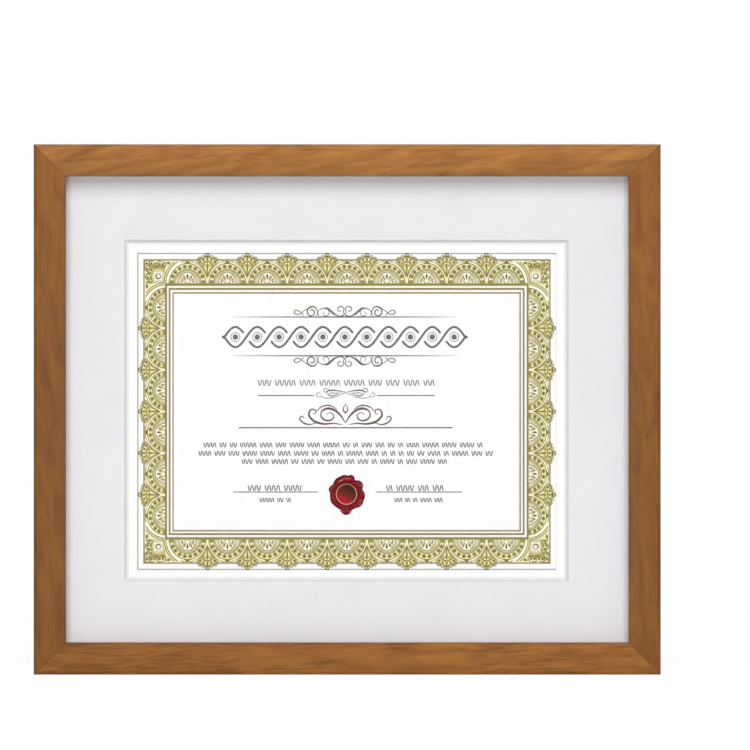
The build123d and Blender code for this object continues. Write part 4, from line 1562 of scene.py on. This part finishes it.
@dataclass
class WaxSeal:
    """The wax seal: a lobed pool with a rolled rim, a pressed dish and a raised ring.

    Each lobe is a direction in degrees, how far it reaches and its radius. Each streak is a painted highlight
    on the rim, or painted shade where its strength is below zero: a direction and half its spread in degrees,
    its place across the rim, half its width and its strength.
    Folds raise the rim, and sways move its crest: each is a size, a count round the rim and a phase.
    """

    middle: Point = (-0.45, 108.4)
    paper_y: float = 3.6
    sink: float = 0.02
    pool_radius: float = 10.0
    ring: float = 6.1
    ring_width: float = 0.7
    bead_height: float = 0.42
    dish_height: float = 0.62
    dish_rise: float = 0.06
    rim_height: float = 1.3
    crest: float = 0.55
    folds: tuple[Place, ...] = ((0.16, 5, 0.7), (0.1, 9, 2.1))
    sways: tuple[Place, ...] = ((0.09, 3, 1.0), (0.05, 7, 0.0))
    rise_power: float = 1.6
    fall_power: float = 2.4
    ring_power: float = 0.9
    blend: int = 40
    turns: int = 180
    rings: int = 46
    lobes: tuple[Place, ...] = (
        (118, 11.35, 5.0), (98, 11.7, 3.6), (75, 12.0, 2.4), (37, 11.7, 3.4), (-4, 11.3, 3.2),
        (-17, 11.05, 3.5), (-35, 11.35, 3.6), (-91.5, 12.5, 3.5), (207, 10.4, 5.0), (160, 11.2, 2.6),
    )
    # Painted highlights on the rim, and painted shade where the strength is below zero.
    streaks: tuple[tuple[float, float, float, float, float], ...] = (
        (112, 9, 0.5, 0.06, 0.95), (88, 10, 0.6, 0.07, 0.4), (30, 5, 0.8, 0.06, 0.75),
        (0, 4, 0.88, 0.06, 0.8), (335, 6, 0.67, 0.08, 0.4), (322, 4, 0.83, 0.06, 0.6),
        (282, 4.5, 0.84, 0.06, 0.9), (256, 5, 0.8, 0.06, 0.7), (157, 4, 0.76, 0.07, 0.45),
        (169, 4, 0.72, 0.07, 0.2), (204, 4, 0.69, 0.07, 0.2), (118, 9, 0.76, 0.08, -0.7),
        (254, 5, 0.52, 0.1, -0.4), (208, 7, 0.38, 0.12, -0.5), (36, 8, 0.34, 0.12, -0.4),
        (20, 12, 0.55, 0.2, -0.35), (215, 14, 0.75, 0.16, -0.35), (286, 8, 0.42, 0.12, -0.5),
        (312, 7, 0.43, 0.12, -0.5),
    )

    @property
    def foot(self) -> float:
        """Distance from the middle to the outer foot of the ring."""
        return self.ring + self.ring_width / 2

    def bloom(self, turn: float, share: float) -> float:
        """How much painted highlight, or painted shade in a fold, lies on a spot of the rim.

        Args:
            turn: Direction in radians.
            share: Place between the ring's foot and the pool's edge.

        Returns:
            A share of painted highlight up to one, or below zero for painted shade in a fold.
        """
        total = 0.0
        for direction, half_turn, place, half_width, strength in self.streaks:
            away = (math.degrees(turn) - direction + 180) % 360 - 180
            total += strength * math.exp(-((away / half_turn) ** 2) - ((share - place) / half_width) ** 2)
        return max(min(total, 1.0), -1.0)

    def outline(self, turn: float) -> float:
        """Distance from the middle to the pool's edge, with the valleys between lobes rounded.

        Args:
            turn: Direction in radians.

        Returns:
            The distance in millimetres.
        """
        total = self.pool_radius**self.blend
        for direction, reach, radius in self.lobes:
            away = turn - math.radians(direction)
            middle = reach - radius
            square = radius**2 - (middle * math.sin(away)) ** 2
            if square > 0:
                total += max(middle * math.cos(away) + math.sqrt(square), 0.0) ** self.blend
        return total ** (1 / self.blend)

    def height(self, turn: float, reach: float, edge: float) -> float:
        """Height of the wax above the paper.

        Args:
            turn: Direction in radians.
            reach: Distance from the middle.
            edge: Distance of the pool's edge in that direction.

        Returns:
            The height in millimetres.
        """
        off_ring = (reach - self.ring) / (self.ring_width / 2)
        bead = self.bead_height * math.sqrt(max(1 - off_ring**2, 0.0))
        if reach <= self.foot:
            return self.dish_height + bead + self.dish_rise * (reach / self.foot) ** 2
        share = (reach - self.foot) / (edge - self.foot)
        fold, sway = (
            sum(size * math.sin(count * turn + phase) for size, count, phase in waves)
            for waves in (self.folds, self.sways)
        )
        low, swell, crest = self.dish_height + self.dish_rise, self.rim_height + fold, self.crest + sway
        if share < crest:
            return low + (swell - low) * math.sin(share / crest * math.pi / 2) ** self.rise_power
        fall = (share - crest) / (1 - crest)
        return swell * math.sqrt(max(1 - fall**self.fall_power, 0.0))

    def build(self) -> None:
        """Build the seal as one closed mesh of rings round its middle."""
        shape = bmesh.new()
        rim_share, bloom = (shape.verts.layers.float.new(name) for name in ("rim_share", "bloom"))
        top_middle = shape.verts.new(self._point(0, 0, self.dish_height))
        rows = []
        for i in range(1, self.rings + 1):
            row = []
            for turn in full_turn(self.turns):
                edge = self.outline(turn)
                reach = math.sin(i / self.rings * math.pi / 2) ** self.ring_power * edge
                vert = shape.verts.new(self._point(turn, reach, self.height(turn, reach, edge)))
                vert[rim_share] = max((reach - self.foot) / (edge - self.foot), 0.0)
                # Painted highlight above zero, painted shade below, from the rim's streaks.
                vert[bloom] = self.bloom(turn, vert[rim_share])
                row.append(vert)
            rows.append(row)
        base = [shape.verts.new((v.co.x, (self.paper_y + self.sink) * MM, v.co.z)) for v in rows[-1]]
        for vert in base:
            vert[rim_share] = 1.0
        rows.append(base)
        under_middle = shape.verts.new(self._point(0, 0, -self.sink))
        for k in range(self.turns):
            n = (k + 1) % self.turns
            shape.faces.new((top_middle, rows[0][k], rows[0][n]))
            for inner, outer in zip(rows, rows[1:]):
                shape.faces.new((inner[k], outer[k], outer[n], inner[n]))
            shape.faces.new((under_middle, base[n], base[k]))
        bmesh.ops.recalc_face_normals(shape, faces=shape.faces)
        mesh = to_mesh(shape, "wax_pool")
        mesh.shade_smooth()
        finish = SealingWax("red_sealing_wax", self.middle, self.ring, self.ring_width)
        place_piece(mesh, "seal_pool", Body.FRAME.value, Slot.SEAL_WAX, finish, ["wax_seal"])

    def _point(self, turn: float, reach: float, height: float) -> Place:
        """Place of a point of the wax, in metres."""
        [(x, z)] = ellipse((reach, reach), [turn], *self.middle)
        return x * MM, (self.paper_y - height) * MM, z * MM


def turned_mesh(name: str, profile: Sequence[Point], steps: int) -> Mesh:
    """Turn a profile about the y axis into a closed solid.

    Args:
        name: Name of the mesh.
        profile: Radius and y of each point in millimetres, first and last on the axis.
        steps: Faces round the axis.

    Returns:
        The mesh, in metres.
    """
    shape = bmesh.new()
    rows = []
    for radius, y in profile:
        spots = ellipse((radius * MM, radius * MM), full_turn(steps if radius else 1))
        rows.append([shape.verts.new((x, y * MM, z)) for x, z in spots])
    for inner, outer in zip(rows, rows[1:]):
        for k in range(steps):
            corners = ((inner, k), (outer, k), (outer, k + 1), (inner, k + 1))
            shape.faces.new(list(dict.fromkeys(row[i % len(row)] for row, i in corners)))
    bmesh.ops.recalc_face_normals(shape, faces=shape.faces)
    return to_mesh(shape, name)


@dataclass
class Hardware:
    """Pressed and turned metal on the back: buttons, hangers, hinge and their fasteners."""

    outer_width: float = 377.4
    outer_height: float = 319.2
    back_y: float = 10.0
    fixing_line: float = 6.35
    spacing_long: float = 220.0
    spacing_short: float = 150.0
    screw_seat: float = 1.1
    screw_steps: int = 28
    pin_steps: int = 24
    nail_spread: float = 36.5
    hanger_gauge: float = 0.7
    hinge_height: float = 222.0
    rivet_spacing: float = 22.0
    rivet_drop: float = 13.0
    board_leaf_back: float = 10.7
    strut_leaf_back: float = 13.8
    edge: float = 0.16
    button_edge: float = 0.256
    edge_runs: int = 2
    edge_angle: float = 35.0
    weld: float = 0.001
    flat_angle: float = 1.0
    recess: Place = (3.2, 1.8, 0.7)
    recess_rise: float = 1.75
    pressed_angle: float = 50.0
    screw_angle: float = 32.0
    pin_angle: float = 40.0
    buttons: tuple[str, ...] = (
        "bottom_left", "bottom_right", "right_lower", "right_upper",
        "top_right", "top_left", "left_upper", "left_lower",
    )
    nail: tuple[Point, ...] = (
        (0, -9.0), (0.3, -8.4), (0.68, -7.4), (0.68, 0.0),
        (1.6, 0.0), (1.7, 0.12), (1.66, 0.4), (1.3, 0.56), (0, 0.6),
    )

    def soften(self, node: str, body: str, finish: Finish, slot: Slot, edge: float) -> None:
        """Replace a CAD node with a copy whose sharp edges are rolled over as pressing leaves them.

        Args:
            node: CAD node.
            body: Body that it rides on.
            finish: Its finish.
            slot: Material slot of the record.
            edge: Radius of the rolled edge in millimetres.
        """
        shape = bmesh.new()
        shape.from_mesh(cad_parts[node].data)
        bmesh.ops.remove_doubles(shape, verts=shape.verts, dist=self.weld * MM)
        limit = math.radians(self.flat_angle)
        bmesh.ops.dissolve_limit(shape, angle_limit=limit, verts=shape.verts, edges=shape.edges)
        mesh = to_mesh(shape, f"{node}_sharp")
        helper = link_helper(mesh.name, mesh)
        bevel = helper.modifiers.new("rolled_edge", "BEVEL")
        bevel.width = edge * MM
        bevel.segments = self.edge_runs
        bevel.limit_method = "ANGLE"
        bevel.angle_limit = math.radians(self.edge_angle)
        rolled = smooth_mesh(plain_mesh(helper, f"{node}_rolled"), self.pressed_angle)
        bpy.data.meshes.remove(mesh)
        place_piece(rolled, f"{node}_pressed", body, slot, finish, [node])

    def screw_seats(self) -> list[Place]:
        """Where the heads of the turn button screws sit.

        Returns:
            Their places in millimetres.
        """
        x, z = self.outer_width / 2 - self.fixing_line, self.outer_height / 2 - self.fixing_line
        middle, y = self.outer_height / 2, self.back_y + self.screw_seat
        ends = [(s, r) for s in (-1, 1) for r in (-1, 1)]
        seats = [(s * self.spacing_long / 2, y, middle + r * z) for s, r in ends]
        return seats + [(s * x, y, middle + r * self.spacing_short / 2) for s, r in ends]

    def nail_seats(self) -> list[Place]:
        """Where the heads of the hanger nails sit.

        Returns:
            Their places in millimetres.
        """
        x, y = self.fixing_line - self.outer_width / 2, self.back_y + self.hanger_gauge
        spots = (-self.nail_spread / 2, self.nail_spread / 2)
        top = [(spot, y, self.outer_height - self.fixing_line) for spot in spots]
        return top + [(x, y, self.outer_height / 2 + spot) for spot in spots]

    def screw(self) -> Mesh:
        """Build one pan head screw with a crossed recess.

        Returns:
            Its mesh, the seat of the head at the origin.
        """
        dome = ellipse((2.8, 1.2), (0.0, 0.3, 0.6, 0.9, 1.2), 0.0, 0.45)
        profile = [(0, -8.0), (1.0, -7.2), (1.38, -6.2), (1.38, 0.0), (2.7, 0.0), *dome, (0, 1.66)]
        head = link_helper("screw_head", turned_mesh("screw_head", profile, self.screw_steps))
        tools = []
        for turn in (0.0, math.pi / 2):
            blade = bmesh.new()
            bmesh.ops.create_cube(blade, size=1.0)
            size = Matrix.Diagonal((*(side * MM for side in self.recess), 1.0))
            lift = Matrix.Translation((0, self.recess_rise * MM, 0))
            blade.transform(lift @ Matrix.Rotation(turn, 4, "Y") @ size)
            tools.append(link_helper("blade", to_mesh(blade, "blade")))
            cut = head.modifiers.new("recess", "BOOLEAN")
            cut.operation = "DIFFERENCE"
            cut.object = tools[-1]
        made = plain_mesh(head, "pan_head_screw")
        for tool in tools:
            bpy.data.objects.remove(tool)
        return smooth_mesh(made, self.screw_angle)

    def headed_pin(self, name: str, profile: Sequence[Point]) -> Mesh:
        """Build one nail or rivet from its profile."""
        return smooth_mesh(turned_mesh(name, profile, self.pin_steps), self.pin_angle)

    def build(self, fasteners: FastenerSet) -> None:
        """Make all the metal of the back.

        Args:
            fasteners: Tree that sets a fastener on each seat.
        """
        root, strut, zinc = Body.FRAME.value, Body.STRUT.value, Slot.ZINC_STEEL
        for button in (f"turn_button_{place}" for place in self.buttons):
            self.soften(button, button, ZINC, zinc, self.button_edge)
        for node, body in (
            ("sawtooth_hanger_top", root),
            ("sawtooth_hanger_side", root),
            ("hinge_board_leaf", root),
            ("hinge_strut_leaf", strut),
        ):
            self.soften(node, body, ZINC, zinc, self.edge)
        dress_nodes({"hinge_pin": STEEL})
        screws = fasteners.seat(self.screw(), self.screw_seats(), "button_screws", math.pi)
        place_piece(screws, "button_screws", root, zinc, ZINC, ["turn_button_screws"])
        nails = fasteners.seat(self.headed_pin("nail", self.nail), self.nail_seats(), "hanger_pins")
        place_piece(nails, "hanger_pins", root, zinc, ZINC, ["hanger_nails"])
        dome = ellipse((2.8, 0.9), (0.0, 0.25, 0.5, 0.8, 1.1, 1.35))
        for name, body, y, rise, shank in (
            ("board_rivets", root, self.board_leaf_back, 1, 3.8),
            ("strut_rivets", strut, self.strut_leaf_back, -1, 3.3),
        ):
            rivet = self.headed_pin(name, [(0, -shank), (1.48, -shank), (1.48, 0.0), *dome, (0, 0.9)])
            z = self.hinge_height + rise * self.rivet_drop
            seats = [(s * self.rivet_spacing / 2, y, z) for s in (-1, 1)]
            rivets = fasteners.seat(rivet, seats, name)
            place_piece(rivets, f"{name}_set", body, zinc, ZINC, [f"hinge_{name}"])


@dataclass
class EaselStrut:
    """The strut that the frame leans on."""

    edge: float = 0.35

    def build(self, hardware: Hardware) -> None:
        """Round the strut's sawn edges and dress it in hardboard."""
        hardware.soften("easel_strut", Body.STRUT.value, HARDBOARD, Slot.HARDBOARD, self.edge)


@dataclass(frozen=True)
class StudioFloor(Finish):
    """Pale studio floor that fades into the white background away from the frame; distances in metres."""

    name: str = "studio_floor"
    colour: str = "#e2e2e2"
    lift: float = 0.56
    solid: float = 0.6
    gone: float = 1.5

    def shade(self, graph: Graph) -> Socket:
        """Mix a white floor with clear air by its distance from the frame.

        Args:
            graph: Nodes of the material.

        Returns:
            The shader's output.
        """
        fade = graph.span(graph.length(graph.place()), self.solid, self.gone, curve="SMOOTHSTEP")
        seen = graph.add("ShaderNodeLightPath", output="Is Camera Ray")
        glow = graph.add("ShaderNodeEmission", {"Strength": graph.calc("MULTIPLY", seen, self.lift)})
        matt = graph.add("ShaderNodeBsdfDiffuse", {"Color": linear(self.colour)})
        floor = graph.add("ShaderNodeAddShader", {0: matt, 1: glow})
        clear = graph.add("ShaderNodeBsdfTransparent")
        return graph.add("ShaderNodeMixShader", {0: fade, 1: floor, 2: clear})


@dataclass
class Studio:
    """Floor, white surroundings, soft lamps and the photograph's camera; floor and lamps are in metres."""

    floor_radius: float = 1.6
    floor_sides: int = 64
    floor_drop: float = 0.0001
    ambient: Point = (0.12, 0.8)
    ambient_turn: Point = (-0.2, 0.5)
    aim: Place = (0.0, 0.0, 0.16)
    key_watts: float = 83.0
    key_place: Place = (0.0, -3.0, 2.17)
    key_size: float = 2.4
    fill_watts: float = 8.9
    fill_place: Place = (0.6, -2.5, 0.16)
    fill_size: float = 0.5
    camera_place: Place = (16.74, -5000.0, 180.3)
    lens: float = 398.1
    sensor: float = 36.0
    clip_end: float = 50.0

    def build(self) -> None:
        """Set up the stage round the frame."""
        self._floor()
        self._world()
        self._lamp("key_lamp", self.key_place, self.key_watts, self.key_size)
        x, y, z = self.fill_place
        for name, place in (("left_fill_lamp", (-x, y, z)), ("right_fill_lamp", (x, y, z))):
            self._lamp(name, place, self.fill_watts, self.fill_size)
        scene = bpy.context.scene
        camera = bpy.data.cameras.new("photograph_camera")
        camera.lens = self.lens
        camera.sensor_width = self.sensor
        camera.clip_end = self.clip_end
        scene.camera = bpy.data.objects.new("photograph_camera", camera)
        scene.camera.location = Vector(self.camera_place) * MM
        scene.camera.rotation_euler = (math.pi / 2, 0.0, 0.0)
        scene.collection.objects.link(scene.camera)
        scene.view_settings.view_transform = "Standard"
        LOG.info("stage: floor, world, three lamps and camera")

    def _floor(self) -> None:
        """Lay the floor just under the frame."""
        shape = bmesh.new()
        bmesh.ops.create_circle(shape, cap_ends=True, segments=self.floor_sides, radius=self.floor_radius)
        floor = link_helper("floor", to_mesh(shape, "floor"))
        floor.data.materials.append(StudioFloor().material())
        floor.location.z = -self.floor_drop

    def _world(self) -> None:
        """Give even white surroundings to the eye, and to the frame a soft light that is stronger behind."""
        world = bpy.data.worlds.new("white_surroundings")
        bpy.context.scene.world = world
        world.use_nodes = True
        world.node_tree.nodes.clear()
        graph = Graph(world.node_tree)
        path = add_node(graph.tree, "ShaderNodeLightPath").outputs
        eye = graph.calc("MAXIMUM", path["Is Camera Ray"], path["Is Glossy Ray"])
        shown = graph.calc("MAXIMUM", eye, path["Is Transmission Ray"])
        _, behind, _ = graph.axes(graph.add("ShaderNodeTexCoord", output="Generated"))
        soft = graph.span(behind, *self.ambient_turn, *self.ambient, curve="SMOOTHSTEP")
        strength = graph.span(shown, 0.0, 1.0, soft, 1.0)
        sky = graph.add("ShaderNodeBackground", {"Color": linear(WHITE), "Strength": strength})
        add_node(graph.tree, "ShaderNodeOutputWorld", {"Surface": sky})

    def _lamp(self, name: str, place: Place, watts: float, size: float) -> None:
        """Hang one large soft lamp that looks at the frame's middle.

        Args:
            name: Name of the lamp.
            place: Where it hangs, in metres.
            watts: Its power.
            size: Width and height in metres.
        """
        light = bpy.data.lights.new(name, "AREA")
        light.shape = "RECTANGLE"
        light.size = light.size_y = size
        light.energy = watts
        lamp = bpy.data.objects.new(name, light)
        lamp.location = place
        lamp.rotation_euler = (Vector(self.aim) - Vector(place)).to_track_quat("-Z", "Y").to_euler()
        bpy.context.scene.collection.objects.link(lamp)


def main() -> None:
    """Build the classes in order."""
    logging.basicConfig(level=logging.INFO, format="%(name)s: %(message)s")
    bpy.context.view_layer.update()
    Studio().build()
    Rails().dress()
    Panes().dress()
    CertificatePrint().build(OrnamentRing())
    WaxSeal().build()
    hardware = Hardware()
    hardware.build(FastenerSet())
    EaselStrut().build(hardware)


if __name__ == "__main__":
    main()
